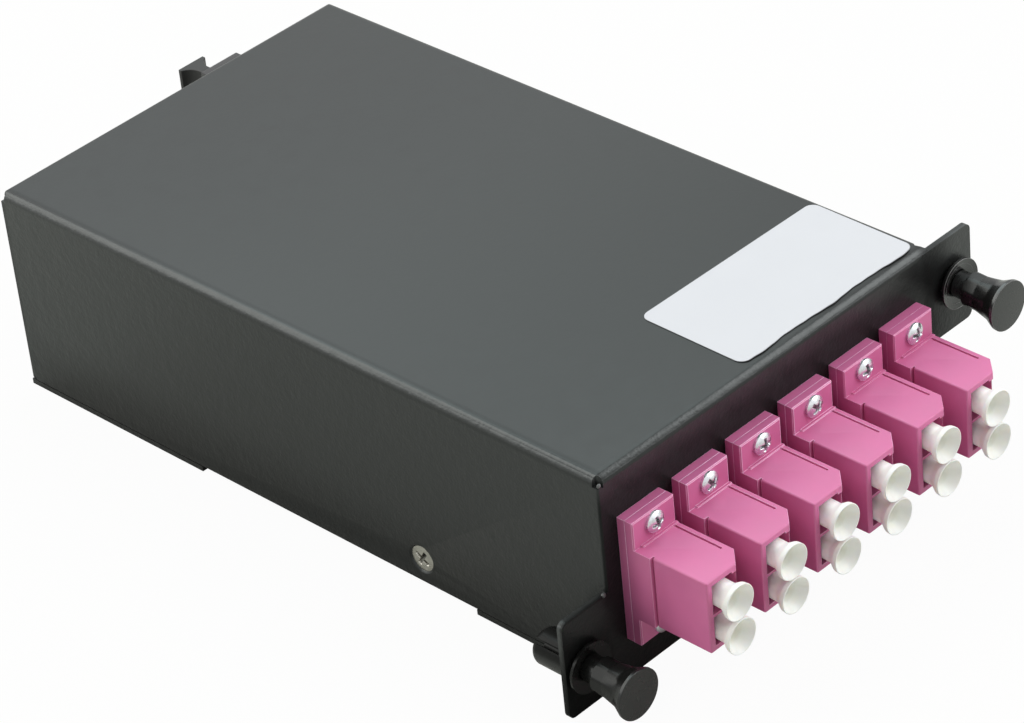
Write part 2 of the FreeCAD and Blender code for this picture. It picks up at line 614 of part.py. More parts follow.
def hex_nuts(label, x, y, columns, pitch, forward):
    """Hexagon nuts behind the panel, one on each pan-head screw."""
    body = new_body(label, x, y, "adapter_height - adapter_hole_spacing / 2")
    flats = new_sketch(body, label + "_flats", "XZ_Plane")
    corner, side = "nut_flats / sqrt(3)", "nut_flats / 2"
    outline(flats, [
        ("-" + corner, "0"), ("-(%s) / 2" % corner, "-" + side), ("(%s) / 2" % corner, "-" + side),
        (corner, "0"), ("(%s) / 2" % corner, side), ("-(%s) / 2" % corner, side)])
    circle(flats, "0", "0", "screw_radius + nut_clearance")
    nut = prism(body, "Pad", flats, "nut_height", backward=forward)
    grid(body, [nut], columns, pitch, "2", "adapter_hole_spacing")
    return body


def cover_screws():
    """Countersunk screws through the side walls into the cover's flanges."""
    body = new_body("cover_screws", "-body_width / 2 + side_head_sunk", SIDE_SCREW_Y, "side_screw_z")
    body.AllowCompound = True
    body.Placement.Rotation = FreeCAD.Rotation(FreeCAD.Vector(0, 0, 1), -90)
    half = new_sketch(body, "cover_screw_profile", "XY_Plane")
    outline(half, [
        ("0", "0"), ("side_head_radius", "0"), ("side_head_radius", "side_head_rim"),
        ("side_screw_radius", "side_head_rim + side_head_radius - side_screw_radius"),
        ("side_screw_radius", "side_screw_length - side_screw_tip"),
        ("side_screw_radius - side_screw_tip", "side_screw_length"),
        ("0", "side_screw_length")])
    shape = turned(body, half)
    cut = cross_recess(body, "0")
    across = new_sketch(body, "cover_screw_middle", "XZ_Plane",
                        "-(body_width / 2 - side_head_sunk)")
    circle(across, "0", "0", "side_head_radius")
    mirror = body.newObject("PartDesign::Mirrored", "cover_screw_pair")
    mirror.Originals = [shape, cut]
    mirror.MirrorPlane = (across, [""])
    body.Tip = mirror
    doc.recompute()
    return body


def plunger_grommet(side, x, z):
    """Collar and split barrel of a plunger, pressed into its eye in the ear."""
    name = "plunger_grommet_" + side
    body = new_body(name, x, FRONT, z)
    half = new_sketch(body, name + "_profile", "XY_Plane")
    outline(half, [
        ("barrel_bore_radius", "-(collar_height - collar_dish)"),
        ("collar_radius", "-collar_height"), ("collar_radius", "-collar_height + collar_rim"),
        ("barrel_radius + collar_rim", "0"), ("barrel_radius", "0"),
        ("barrel_radius", "barrel_length - barrel_tip", "barrel_tip_round"),
        ("barrel_tip_radius", "barrel_length"),
        ("barrel_bore_radius", "barrel_length")])
    turned(body, half)
    # two slots across the barrel's end, at right angles and on the slant, part its four legs
    near_end = "(barrel_radius + leg_slot / 2) / sqrt(2)"
    far_end = "(barrel_radius + leg_slot * 1.5) / sqrt(2)"
    for slant, left, right in (("rising", "-", ""), ("falling", "", "-")):
        slot = new_sketch(body, "%s_%s_slot" % (name, slant), "XZ_Plane", "-barrel_length")
        outline(slot, [(left + near_end, "-" + far_end), (right + far_end, near_end),
                       (right + near_end, far_end), (left + far_end, "-" + near_end)])
        prism(body, "Pocket", slot, "leg_slot_length", backward=True)
    return body


def plunger_pin(side, x, z):
    """Push-pull pin of a plunger: tail, neck, waist and flared knob, turned as one."""
    name = "plunger_pin_" + side
    body = new_body(name, x, FRONT, z)
    half = new_sketch(body, name + "_profile", "XY_Plane")
    seat = "-(collar_height - collar_dish / 2)"
    neck = seat + " - pin_neck_length"
    waist = neck + " - pin_waist_length"
    outline(half, [
        ("0", "-pin_reach"), ("knob_radius", "-pin_reach"),
        ("knob_radius", "-pin_reach + knob_rim", "-knob_flare_radius"),
        ("pin_waist_radius", waist), ("pin_waist_radius", neck + " - pin_shoulder"),
        ("pin_neck_radius", neck),
        ("pin_neck_radius", seat), ("pin_tail_radius", seat),
        ("pin_tail_radius", "pin_tail_length"), ("0", "pin_tail_length")])
    turned(body, half)
    return body


def mpo_half(label, sign, length, depth):
    """One half of the MPO adapter on the back wall. sign is + for the outer half."""
    outer = sign == "+"
    body = new_body(label, "mpo_x", BACK_SEAM, "adapter_height")
    flange = new_sketch(body, label + "_flange", "XZ_Plane")
    rectangle(flange, "-adapter_flange_width / 2", "adapter_flange_width / 2",
              "-adapter_flange_height / 2", "adapter_flange_height / 2")
    for end in ("-", ""):
        circle(flange, "0", end + "adapter_hole_spacing / 2", "adapter_hole_radius")
    prism(body, "Pad", flange, "adapter_flange_layer", backward=outer)
    block = new_sketch(body, label + "_block", "XZ_Plane")
    rectangle(block, "-mpo_body_width / 2", "mpo_body_width / 2",
              "-mpo_body_height / 2", "mpo_body_height / 2")
    prism(body, "Pad", block, length, backward=outer)
    rounded(body, "adapter_edge", name="long_edges", chosen=lambda e: along(e, 1)
            and near(abs(centre_of(e).x), number("mpo_body_width / 2")))
    port = new_sketch(body, label + "_port", "XZ_Plane", length if not outer else "-(%s)" % length)
    rectangle(port, "-mpo_port_width / 2", "mpo_port_width / 2",
              "-mpo_port_height / 2", "mpo_port_height / 2")
    prism(body, "Pocket", port, depth, backward=outer)
    web = new_sketch(body, label + "_web", "XZ_Plane")
    rectangle(web, "-mpo_web_width / 2", "mpo_web_width / 2",
              "-mpo_web_height / 2", "mpo_web_height / 2")
    prism(body, "Pocket", web, length, backward=not outer)
    return body


def mpo_dust_cap():
    """Plug of the MPO port with a thin handle that flares to a bar."""
    body = new_body("mpo_dust_cap", "mpo_x", "body_depth / 2 + mpo_outer_length", "adapter_height")
    plug = new_sketch(body, "mpo_plug", "XY_Plane")
    half = "(mpo_port_width / 2 - mpo_cap_clearance)"
    rectangle(plug, "-" + half, half, "-mpo_cap_plug", "0")
    prism(body, "Pad", plug, "mpo_port_height - mpo_cap_clearance * 2", centred=True)
    handle = new_sketch(body, "mpo_handle", "XY_Plane")
    neck = "mpo_cap_reach - mpo_cap_rim - mpo_cap_flare"
    rim = "mpo_cap_reach - mpo_cap_rim"
    outline(handle, [
        ("-mpo_cap_web / 2", "-mpo_cap_plug / 2"), ("mpo_cap_web / 2", "-mpo_cap_plug / 2"),
        ("mpo_cap_web / 2", neck, "-mpo_cap_flare"), ("mpo_cap_rim_width / 2", rim),
        ("mpo_cap_rim_width / 2", "mpo_cap_reach"), ("-mpo_cap_rim_width / 2", "mpo_cap_reach"),
        ("-mpo_cap_rim_width / 2", rim, "-mpo_cap_flare"), ("-mpo_cap_web / 2", neck)])
    prism(body, "Pad", handle, "mpo_cap_height", centred=True)
    return body


# --------------------------------------------------------------------- assembly

PIECES = [housing(), bottom_cover(), label(), cover_screws()]
for place in range(1, int(number("adapter_count")) + 1):
    PIECES += [adapter_front(place), adapter_rear(place)]
    for level in ("upper", "lower"):
        PIECES += [sleeve(place, level), dust_cap(place, level)]
PIECES += [
    pan_screws("adapter_screws", FIRST_ADAPTER, "-body_depth / 2 - adapter_flange_layer * 2",
               "adapter_count", "adapter_pitch", True),
    hex_nuts("adapter_nuts", FIRST_ADAPTER, "-body_depth / 2 + sheet",
             "adapter_count", "adapter_pitch", True),
    pan_screws("mpo_screws", "mpo_x", "body_depth / 2 + adapter_flange_layer * 2",
               "1", "adapter_pitch", False),
    hex_nuts("mpo_nuts", "mpo_x", "body_depth / 2 - sheet", "1", "adapter_pitch", False),
    plunger_grommet("left", "-plunger_spread / 2", "left_plunger_z"),
    plunger_grommet("right", "plunger_spread / 2", RIGHT_PLUNGER_Z),
    plunger_pin("left", "-plunger_spread / 2", "left_plunger_z"),
    plunger_pin("right", "plunger_spread / 2", RIGHT_PLUNGER_Z),
    mpo_half("mpo_adapter_outer", "+", "mpo_outer_length - adapter_flange_layer", "mpo_port_depth"),
    mpo_half("mpo_adapter_inner", "-", "mpo_inner_length + adapter_flange_layer", "mpo_inner_depth"),
    mpo_dust_cap(),
]
doc.recompute()

faults = [o.Name for o in doc.Objects if "Invalid" in o.State or "Error" in o.State]
faults += [p.Label for p in PIECES if p.Shape.isNull() or not p.Shape.isValid()]
if faults:
    raise RuntimeError("failed: " + ", ".join(faults))

os.makedirs("parts", exist_ok=True)
for piece in PIECES:
    piece.Shape.exportStep("parts/%s.step" % piece.Label)
    print("%-22s %2d solids %9.1f mm3" % (piece.Label, len(piece.Shape.Solids), piece.Shape.Volume))
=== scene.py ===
"""The dressed fibre cassette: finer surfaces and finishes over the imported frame.

Lengths in the dataclasses are millimetres; meshes are in metres, in the frame's own axes:
+Z up through the top plate, -Y out of the front panel."""
import logging
import math
from dataclasses import dataclass, replace
from enum import Enum
from typing import Iterable, Sequence

import bmesh
import bpy
import numpy as np
from mathutils import Matrix, Vector


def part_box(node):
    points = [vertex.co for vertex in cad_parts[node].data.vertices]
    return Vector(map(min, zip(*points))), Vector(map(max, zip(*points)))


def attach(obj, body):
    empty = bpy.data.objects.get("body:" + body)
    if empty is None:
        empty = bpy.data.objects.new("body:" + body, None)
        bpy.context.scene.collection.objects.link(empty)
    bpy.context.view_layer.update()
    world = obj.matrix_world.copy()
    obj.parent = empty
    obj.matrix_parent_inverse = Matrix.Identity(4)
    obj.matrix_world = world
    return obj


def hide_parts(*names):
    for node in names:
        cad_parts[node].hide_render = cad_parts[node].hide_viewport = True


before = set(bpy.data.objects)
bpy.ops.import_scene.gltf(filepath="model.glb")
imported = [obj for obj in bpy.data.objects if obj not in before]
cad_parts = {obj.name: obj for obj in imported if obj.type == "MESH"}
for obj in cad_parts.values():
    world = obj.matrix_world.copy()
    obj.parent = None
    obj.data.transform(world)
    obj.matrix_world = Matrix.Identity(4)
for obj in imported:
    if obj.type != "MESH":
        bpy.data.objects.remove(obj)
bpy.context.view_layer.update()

MM = 0.001
CASSETTE = "cassette"  # the body that everything fixed rides on
MERGE_DISTANCE = 2e-7  # in metres; points nearer than this are one point
FLAT_DEG = 0.2  # faces of a node that meet at less than this are one face
BEVEL_SEGMENTS = 2
NOISE_RANGE = (0.3, 0.7)  # nearly all of a noise texture lies between these
COARSE_GRAIN = 2.6  # size of the coarse grain, as a multiple of the fine grain's
FINE_HEIGHT = 0.6  # height of the fine grain, as a share of the coarse grain's
COLOUR_DEPTHS = (1.0, 0.7, 0.5)  # how far red, green and blue go under a surface
IOR = 1.5
WHITE = (1.0, 1.0, 1.0, 1.0)
Triple = tuple[float, float, float]
Feed = bpy.types.NodeSocket | float
Inputs = dict[str | int, Feed | Sequence[float]]
LOG = logging.getLogger("cassette")


# ---- surfaces


class Facing(Enum):
    """The way a piece's w axis points, as the frame directions of its u, v and w axes."""

    FRONT = ((1, 0, 0), (0, 0, 1), (0, -1, 0))
    BACK = ((-1, 0, 0), (0, 0, 1), (0, 1, 0))
    LEFT = ((0, -1, 0), (0, 0, 1), (-1, 0, 0))
    RIGHT = ((0, 1, 0), (0, 0, 1), (1, 0, 0))


@dataclass(frozen=True)
class Surface:
    """A grid of points on a surface, closed round its columns and at both ends of its rows.

    Attributes:
        points: array of rows x columns x 3, in the piece's own u, v, w, in millimetres.
        ends_open: True for a surface whose first and last rows meet, such as a ring.
        painted_shade: rows x columns shares of how dark each point is painted to stand in for
            shade, or None for none.
    """

    points: np.ndarray
    ends_open: bool = False
    painted_shade: np.ndarray | None = None

    def placed(self, facing: Facing, at: Sequence[float]) -> "Surface":
        """The same surface turned to a facing and moved to a place in the frame."""
        return replace(self, points=self.points @ np.array(facing.value, float) + np.array(at))

    def painted_shade_shares(self) -> np.ndarray:
        """One share of painted shade for each point, in the order of the mesh's vertices."""
        rows, columns = self.points.shape[:2]
        return np.zeros(rows * columns) if self.painted_shade is None else self.painted_shade.reshape(-1)

    def faces(self, start: int) -> list[list[int]]:
        """Quads between neighbouring rows and columns, and a many-sided face at each end.

        Args:
            start: index of the surface's first vertex in its mesh.

        Returns:
            Vertex indices of each face.
        """
        rows, columns = self.points.shape[:2]
        index = start + np.arange(rows * columns).reshape(rows, columns)
        nearer = index if self.ends_open else index[:-1]
        further = np.roll(index, -1, axis=0) if self.ends_open else index[1:]
        quads = np.stack([nearer, np.roll(nearer, -1, axis=1),
                          np.roll(further, -1, axis=1), further], axis=-1).reshape(-1, 4)
        ends = [] if self.ends_open else [index[0, ::-1].tolist(), index[-1].tolist()]
        return quads.tolist() + ends


def corner_normals(corner: np.ndarray) -> tuple[np.ndarray, np.ndarray, np.ndarray, np.ndarray]:
    """The sides that meet at each corner of a closed line.

    Args:
        corner: array of corners x 2, in order round the line.

    Returns:
        The unit side before each corner, the unit side after it, and their left normals.
    """
    side = np.roll(corner, -1, axis=0) - corner
    side /= np.maximum(np.linalg.norm(side, axis=1, keepdims=True), 1e-9)
    before = np.roll(side, 1, axis=0)
    n1 = np.stack([-before[:, 1], before[:, 0]], axis=1)
    n2 = np.stack([-side[:, 1], side[:, 0]], axis=1)
    return before, side, n1, n2


def softened(points: Sequence[Sequence[float]], closed: bool, steps: int = 5) -> np.ndarray:
    """A line of straight runs whose corners are arcs.

    Each corner (x, y, radius) gives steps + 1 points of the arc that touches both of its
    sides: with unit sides d, left normals n and turn t between them, the arc's centre is
    the corner plus radius (n1 + n2) / (1 + n1.n2) on the inner side of the turn, and its
    points are the centre minus the radius times n1 turned by 0 to t.

    Args:
        points: corners as (x, y, radius).
        closed: True where the last corner joins the first.
        steps: divisions of each arc.

    Returns:
        Array of points x 2.
    """
    table = np.asarray(points, float)
    corner, radius = table[:, :2], table[:, 2]
    before, side, n1, n2 = corner_normals(corner)
    turn = np.arctan2(before[:, 0] * side[:, 1] - before[:, 1] * side[:, 0],
                      (before * side).sum(axis=1))
    if not closed:
        radius = radius.copy()
        radius[[0, -1]] = 0.0
        turn[[0, -1]] = 0.0
        n1[0], n2[-1] = n2[0], n1[-1]
    inner = np.where(turn >= 0, 1.0, -1.0)
    spread = (n1 + n2) / np.maximum(1 + (n1 * n2).sum(axis=1, keepdims=True), 1e-6)
    centre = corner + (inner * radius)[:, None] * spread
    angle = turn[:, None] * np.linspace(0, 1, steps + 1)[None, :]
    c, s = np.cos(angle), np.sin(angle)
    turned = np.stack([c * n1[:, :1] - s * n1[:, 1:], s * n1[:, :1] + c * n1[:, 1:]], axis=-1)
    arcs = centre[:, None, :] - (inner * radius)[:, None, None] * turned
    if closed:
        return arcs.reshape(-1, 2)
    middle = arcs[1:-1].reshape(-1, 2)
    return np.concatenate([corner[:1], middle, corner[-1:]])


def lathe(profile: np.ndarray, columns: int = 48) -> Surface:
    """A profile carried round its own axis.

    Point (i, j) is (r_i cos a_j, r_i sin a_j, h_i).

    Args:
        profile: rows of (radius, height).
        columns: points round the axis.

    Returns:
        The surface of revolution.
    """
    angle = np.linspace(0, 2 * np.pi, columns, endpoint=False)
    r, h = profile[:, 0][:, None], profile[:, 1][:, None]
    return Surface(np.stack([r * np.cos(angle), r * np.sin(angle),
                             np.broadcast_to(h, (len(profile), columns))], axis=-1))


@dataclass(frozen=True)
class Outline:
    """A closed anticlockwise outline of (x, y, radius) corners, in millimetres.

    Attributes:
        corners: in order round the outline.
        steps: divisions of each corner's arc.
        divisions: divisions of each straight side.
    """

    corners: tuple[tuple[float, float, float], ...]
    steps: int = 6
    divisions: int = 1

    @staticmethod
    def rectangle(left: float, right: float, low: float, high: float, radius: float,
                  divisions: int) -> "Outline":
        """A rectangle with equal rounded corners."""
        return Outline(((left, low, radius), (right, low, radius),
                        (right, high, radius), (left, high, radius)), divisions=divisions)

    def ring(self, inset: float) -> np.ndarray:
        """The outline with every side moved inwards by an inset.

        Each corner moves by inset (n1 + n2) / (1 + n1.n2), where n1 and n2 are the inward
        normals of its sides, and its radius shrinks by the inset, or grows where the
        outline turns the other way.

        Args:
            inset: how far the sides move, in millimetres.

        Returns:
            Array of points x 2, with the points that divide the sides after each corner's.
        """
        table = np.asarray(self.corners, float)
        corner = table[:, :2]
        before, side, n1, n2 = corner_normals(corner)
        convex = np.sign(before[:, 0] * side[:, 1] - before[:, 1] * side[:, 0])
        moved = corner + inset * (n1 + n2) / (1 + (n1 * n2).sum(axis=1, keepdims=True))
        radius = np.maximum(table[:, 2] - convex * inset, 0.0)
        arcs = softened(np.column_stack([moved, radius]), closed=True, steps=self.steps)
        arcs = arcs.reshape(len(corner), self.steps + 1, 2)
        share = np.linspace(0, 1, self.divisions + 1)[1:-1, None]
        sides = arcs[:, -1:] * (1 - share) + np.roll(arcs, -1, axis=0)[:, :1] * share
        return np.concatenate([arcs, sides], axis=1).reshape(-1, 2)


def smooth_step(x: np.ndarray, low: float, high: float) -> np.ndarray:
    """0 below low, 1 above high, and 3t^2 - 2t^3 between, with t from 0 to 1."""
    t = np.clip((x - low) / (high - low), 0, 1)
    return t * t * (3 - 2 * t)


def make_piece(name: str, surfaces: Sequence[Surface], finish: "Finish",
               crease_deg: float, body: str = CASSETTE) -> bpy.types.Object:
    """One mesh object from surfaces already in their places.

    Args:
        name: the piece's name.
        surfaces: closed surfaces in the frame, in millimetres.
        finish: what it is dressed in.
        crease_deg: edges sharper than this stay sharp in shading.
        body: the body it rides on.

    Returns:
        The new object.
    """
    starts = np.cumsum([0] + [s.points.shape[0] * s.points.shape[1] for s in surfaces])
    vertices = np.concatenate([s.points.reshape(-1, 3) for s in surfaces]) * MM
    faces = [face for surface, start in zip(surfaces, starts)
             for face in surface.faces(int(start))]
    mesh = bpy.data.meshes.new(name)
    mesh.from_pydata(vertices.tolist(), [], faces)
    # Each point's painted shade, which darkens the colour where a finish uses it.
    painted_shade = mesh.attributes.new("painted_shade", "FLOAT", "POINT")
    painted_shade.data.foreach_set("value", np.concatenate([s.painted_shade_shares() for s in surfaces]))
    tidy_mesh(mesh, flat_deg=0.0)
    return add_piece(name, mesh, finish, crease_deg, body)


def into_scene(name: str, data: bpy.types.ID) -> bpy.types.Object:
    """Puts a new object over some data into the scene.

    Args:
        name: the object's name.
        data: its mesh, light or camera.

    Returns:
        The new object.
    """
    thing = bpy.data.objects.new(name, data)
    bpy.context.scene.collection.objects.link(thing)
    return thing


def tidy_mesh(mesh: bpy.types.Mesh, flat_deg: float) -> None:
    """Merges doubled points, joins faces that lie in one plane and turns faces outwards.

    Args:
        mesh: the mesh to tidy.
        flat_deg: faces that meet at less than this angle are joined, or 0 to leave them.
    """
    bm = bmesh.new()
    bm.from_mesh(mesh)
    bmesh.ops.remove_doubles(bm, verts=bm.verts, dist=MERGE_DISTANCE)
    if flat_deg:
        bmesh.ops.dissolve_limit(bm, angle_limit=math.radians(flat_deg),
                                 verts=bm.verts, edges=bm.edges)
    bmesh.ops.recalc_face_normals(bm, faces=bm.faces)
    bm.to_mesh(mesh)
    bm.free()


def add_piece(name: str, mesh: bpy.types.Mesh, finish: "Finish",
              crease_deg: float, body: str) -> bpy.types.Object:
    """Puts a finished mesh into the scene, shaded smooth up to its creases.

    Args:
        name: the piece's name.
        mesh: its mesh, in metres.
        finish: what it is dressed in.
        crease_deg: edges sharper than this stay sharp in shading.
        body: the body it rides on.

    Returns:
        The new object.
    """
    mesh.shade_smooth()
    mesh.set_sharp_from_angle(angle=math.radians(crease_deg))
    piece = into_scene(name, mesh)
    mesh.materials.clear()
    mesh.materials.append(finish.material())
    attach(piece, body)
    LOG.info("%s: %d faces", name, len(mesh.polygons))
    return piece


def eased_copy(node: str, finish: "Finish", edge: float, crease_deg: float = 30.0,
               edge_highlight: "Finish | None" = None, body: str = CASSETTE) -> bpy.types.Object:
    """A node's own shape with its arcs shaded smooth and its sharp edges broken.

    Args:
        node: the node that the copy stands for.
        finish: what it is dressed in.
        edge: width of the broken edges, in millimetres.
        crease_deg: edges sharper than this are broken and stay creased.
        edge_highlight: a lighter finish on the broken edges that paints their highlight, or None
            for the same finish.
        body: the body it rides on.

    Returns:
        The new object.
    """
    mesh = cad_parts[node].data.copy()
    tidy_mesh(mesh, flat_deg=FLAT_DEG)
    piece = add_piece("eased_" + node, mesh, finish, crease_deg, body)
    broken = piece.modifiers.new("broken_edges", "BEVEL")
    broken.width = edge * MM
    broken.segments = BEVEL_SEGMENTS
    broken.limit_method = "ANGLE"
    broken.angle_limit = math.radians(crease_deg)
    # The broken edges get the lighter finish as a painted highlight.
    if edge_highlight:
        mesh.materials.append(edge_highlight.material())
        broken.material = 1
    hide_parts(node)
    return piece


# ---- finishes


class Tree:
    """The node tree of a material or a world."""

    def __init__(self, owner: bpy.types.Material | bpy.types.World) -> None:
        """Switches the owner's nodes on.

        Args:
            owner: the material or the world that the tree belongs to.
        """
        owner.use_nodes = True
        self.nodes = owner.node_tree.nodes
        self.links = owner.node_tree.links

    def add(self, kind: str, inputs: Inputs | None = None, **settings: str) -> bpy.types.Node:
        """Makes a node.

        Args:
            kind: the node's type, without "ShaderNode".
            inputs: as for fill, or None where nothing feeds it.
            settings: the node's own properties.

        Returns:
            The new node.
        """
        node = self.nodes.new("ShaderNode" + kind)
        for name, value in settings.items():
            setattr(node, name, value)
        return self.fill(node, inputs or {})

    def fill(self, node: bpy.types.Node, inputs: Inputs) -> bpy.types.Node:
        """Feeds a node.

        Args:
            node: the node.
            inputs: for each input, by name or number, the socket or the value that feeds it.

        Returns:
            The same node.
        """
        for name, value in inputs.items():
            if isinstance(value, bpy.types.NodeSocket):
                self.links.new(value, node.inputs[name])
            else:
                node.inputs[name].default_value = value
        return node

    def product(self, factors: Sequence[Feed]) -> Feed:
        """Multiplies factors together.

        Args:
            factors: one or more sockets and numbers.

        Returns:
            The socket of the product, or the factor itself where there is only one.
        """
        result = factors[0]
        for factor in factors[1:]:
            result = self.add("Math", {0: result, 1: factor}, operation="MULTIPLY").outputs[0]
        return result


@dataclass(frozen=True)
class Patch:
    """A region of the object, soft at its bounds, where a level of a finish is stronger or
    weaker: its reflections, which paints highlights or shade there, or its grain.

    Attributes:
        bounds: for each axis that bounds it, the two places in millimetres between which
            the patch grows from nothing to full.
        share: strength inside the patch, as a share of that outside.
    """

    bounds: dict[str, tuple[float, float]]
    share: float

    def factor(self, tree: Tree, place: bpy.types.NodeSocket) -> bpy.types.NodeSocket:
        """What the patch multiplies a level by, over the object.

        Args:
            tree: the material's node tree.
            place: object coordinates.

        Returns:
            A socket that gives 1 outside the patch and its share inside.
        """
        axes = tree.add("SeparateXYZ", {"Vector": place}).outputs
        shares = [tree.add("MapRange", {"Value": axes[axis], "From Min": nothing * MM,
                                        "From Max": full * MM},
                           interpolation_type="SMOOTHSTEP").outputs["Result"]
                  for axis, (nothing, full) in self.bounds.items()]
        level = tree.add("MapRange", {"Value": tree.product(shares), "To Min": 1.0,
                                      "To Max": self.share})
        return level.outputs["Result"]


@dataclass(frozen=True)
class Finish:
    """A procedural finish: a colour mottled by soft noise over a grained surface.

    Attributes:
        title: the material's name.
        colour: base colour, linear.
        roughness: mean roughness, and spread how far the noise moves it.
        mottle: how far the noise lightens and darkens the colour, as a share.
        grain_height: of the surface grain, which is grain_size long.
        swell_height: of low swells in the surface, which are swell_size long.
        calm: where grain and swells are weaker, or None.
        painted_shade_strength: how far the mesh's painted shade turns the colour to the shade's
            own, as a share.
        painted_shade_colour: linear, the colour of the painted shade.
        metallic: 1 for bare metal.
        specular: strength of the reflections, 0.5 for a plain plastic.
        subsurface: share of the light that goes under the surface, to subsurface_depth.
        tint: colour of the reflections.
        patches: where the reflections are scaled up or down, painting highlights and shade.
    """

    title: str
    colour: Triple
    roughness: float = 0.5
    spread: float = 0.05
    mottle: float = 0.06
    mottle_size: float = 6.0
    grain_height: float = 0.004
    grain_size: float = 0.4
    swell_height: float = 0.0
    swell_size: float = 5.0
    painted_shade_strength: float = 0.0
    painted_shade_colour: Triple = (0.01, 0.01, 0.01)
    metallic: float = 0.0
    specular: float = 0.5
    subsurface: float = 0.0
    subsurface_depth: float = 0.8
    tint: Triple = (1.0, 1.0, 1.0)
    patches: tuple[Patch, ...] = ()
    calm: Patch | None = None

    def material(self) -> bpy.types.Material:
        """The finish's material, made once and shared."""
        return bpy.data.materials.get("dressed_" + self.title) or self.built()

    def built(self) -> bpy.types.Material:
        """Makes the node tree.

        Object coordinates feed one noise for colour and roughness, two for the grain's bump
        and one for the swells.

        Returns:
            The new material.
        """
        material = bpy.data.materials.new("dressed_" + self.title)
        tree = Tree(material)
        place = tree.add("TexCoord").outputs["Object"]
        cloud = self.noise(tree, place, self.mottle_size, detail=3.0)
        shade = tree.add("ValToRGB", {"Fac": cloud})
        for element, position, sign in zip(shade.color_ramp.elements, NOISE_RANGE, (-1, 1)):
            element.position = position
            element.color = self.scaled(1 + sign * self.mottle)
        sheen = tree.add("MapRange", {
            "Value": cloud, "From Min": NOISE_RANGE[0], "From Max": NOISE_RANGE[1],
            "To Min": max(self.roughness - self.spread, 0.0),
            "To Max": min(self.roughness + self.spread, 1.0)})
        # The patches scale the reflections region by region: painted highlights and painted
        # shade.
        factors = [patch.factor(tree, place) for patch in self.patches]
        tree.fill(tree.nodes["Principled BSDF"], {
            "Base Color": self.darkened(tree, shade.outputs["Color"]),
            "Roughness": sheen.outputs["Result"], "Normal": self.grained(tree, place),
            "Metallic": self.metallic, "IOR": IOR,
            "Specular IOR Level": tree.product([*factors, self.specular]),
            "Specular Tint": self.tint + (1.0,), "Subsurface Weight": self.subsurface,
            "Subsurface Scale": self.subsurface_depth * MM,
            "Subsurface Radius": COLOUR_DEPTHS})
        return material

    def grained(self, tree: Tree, place: bpy.types.NodeSocket) -> bpy.types.NodeSocket:
        """Tilts the surface by the coarse grain, the fine grain and the swells.

        Args:
            tree: the material's node tree.
            place: object coordinates.

        Returns:
            The socket of the tilted normal.
        """
        layers = [(self.grain_size * COARSE_GRAIN, self.grain_height),
                  (self.grain_size, self.grain_height * FINE_HEIGHT)]
        if self.swell_height:
            layers.append((self.swell_size, self.swell_height))
        below: Inputs = {}
        for size, height in layers:
            bump = tree.add("Bump", {
                "Height": self.noise(tree, place, size, detail=1.0), "Distance": height * MM,
                "Strength": self.calm.factor(tree, place) if self.calm else 1.0, **below})
            below = {"Normal": bump.outputs["Normal"]}
        return below["Normal"]

    def darkened(self, tree: Tree, colour: bpy.types.NodeSocket) -> bpy.types.NodeSocket:
        """Mixes the colour towards the painted shade's colour by the mesh's own painted shade.

        Args:
            tree: the material's node tree.
            colour: the unshaded colour.

        Returns:
            The socket of the mixed colour, or the unshaded one where no shade is painted.
        """
        if not self.painted_shade_strength:
            return colour
        painted_shade = tree.add("Attribute", attribute_name="painted_shade").outputs["Fac"]
        mix = tree.add("MixRGB", {"Fac": tree.product([painted_shade, self.painted_shade_strength]), "Color1": colour,
                                  "Color2": self.painted_shade_colour + (1.0,)})
        return mix.outputs["Color"]

    def scaled(self, share: float) -> tuple[float, float, float, float]:
        """The base colour times a share, as a node colour."""
        return tuple(min(c * share, 1.0) for c in self.colour) + (1.0,)

    @staticmethod
    def noise(tree: Tree, place: bpy.types.NodeSocket, size: float,
              detail: float) -> bpy.types.NodeSocket:
        """Noise on object coordinates whose blobs are about size millimetres."""
        return tree.add("TexNoise", {"Vector": place, "Scale": 1.0 / (size * MM),
                                     "Detail": detail}).outputs["Fac"]


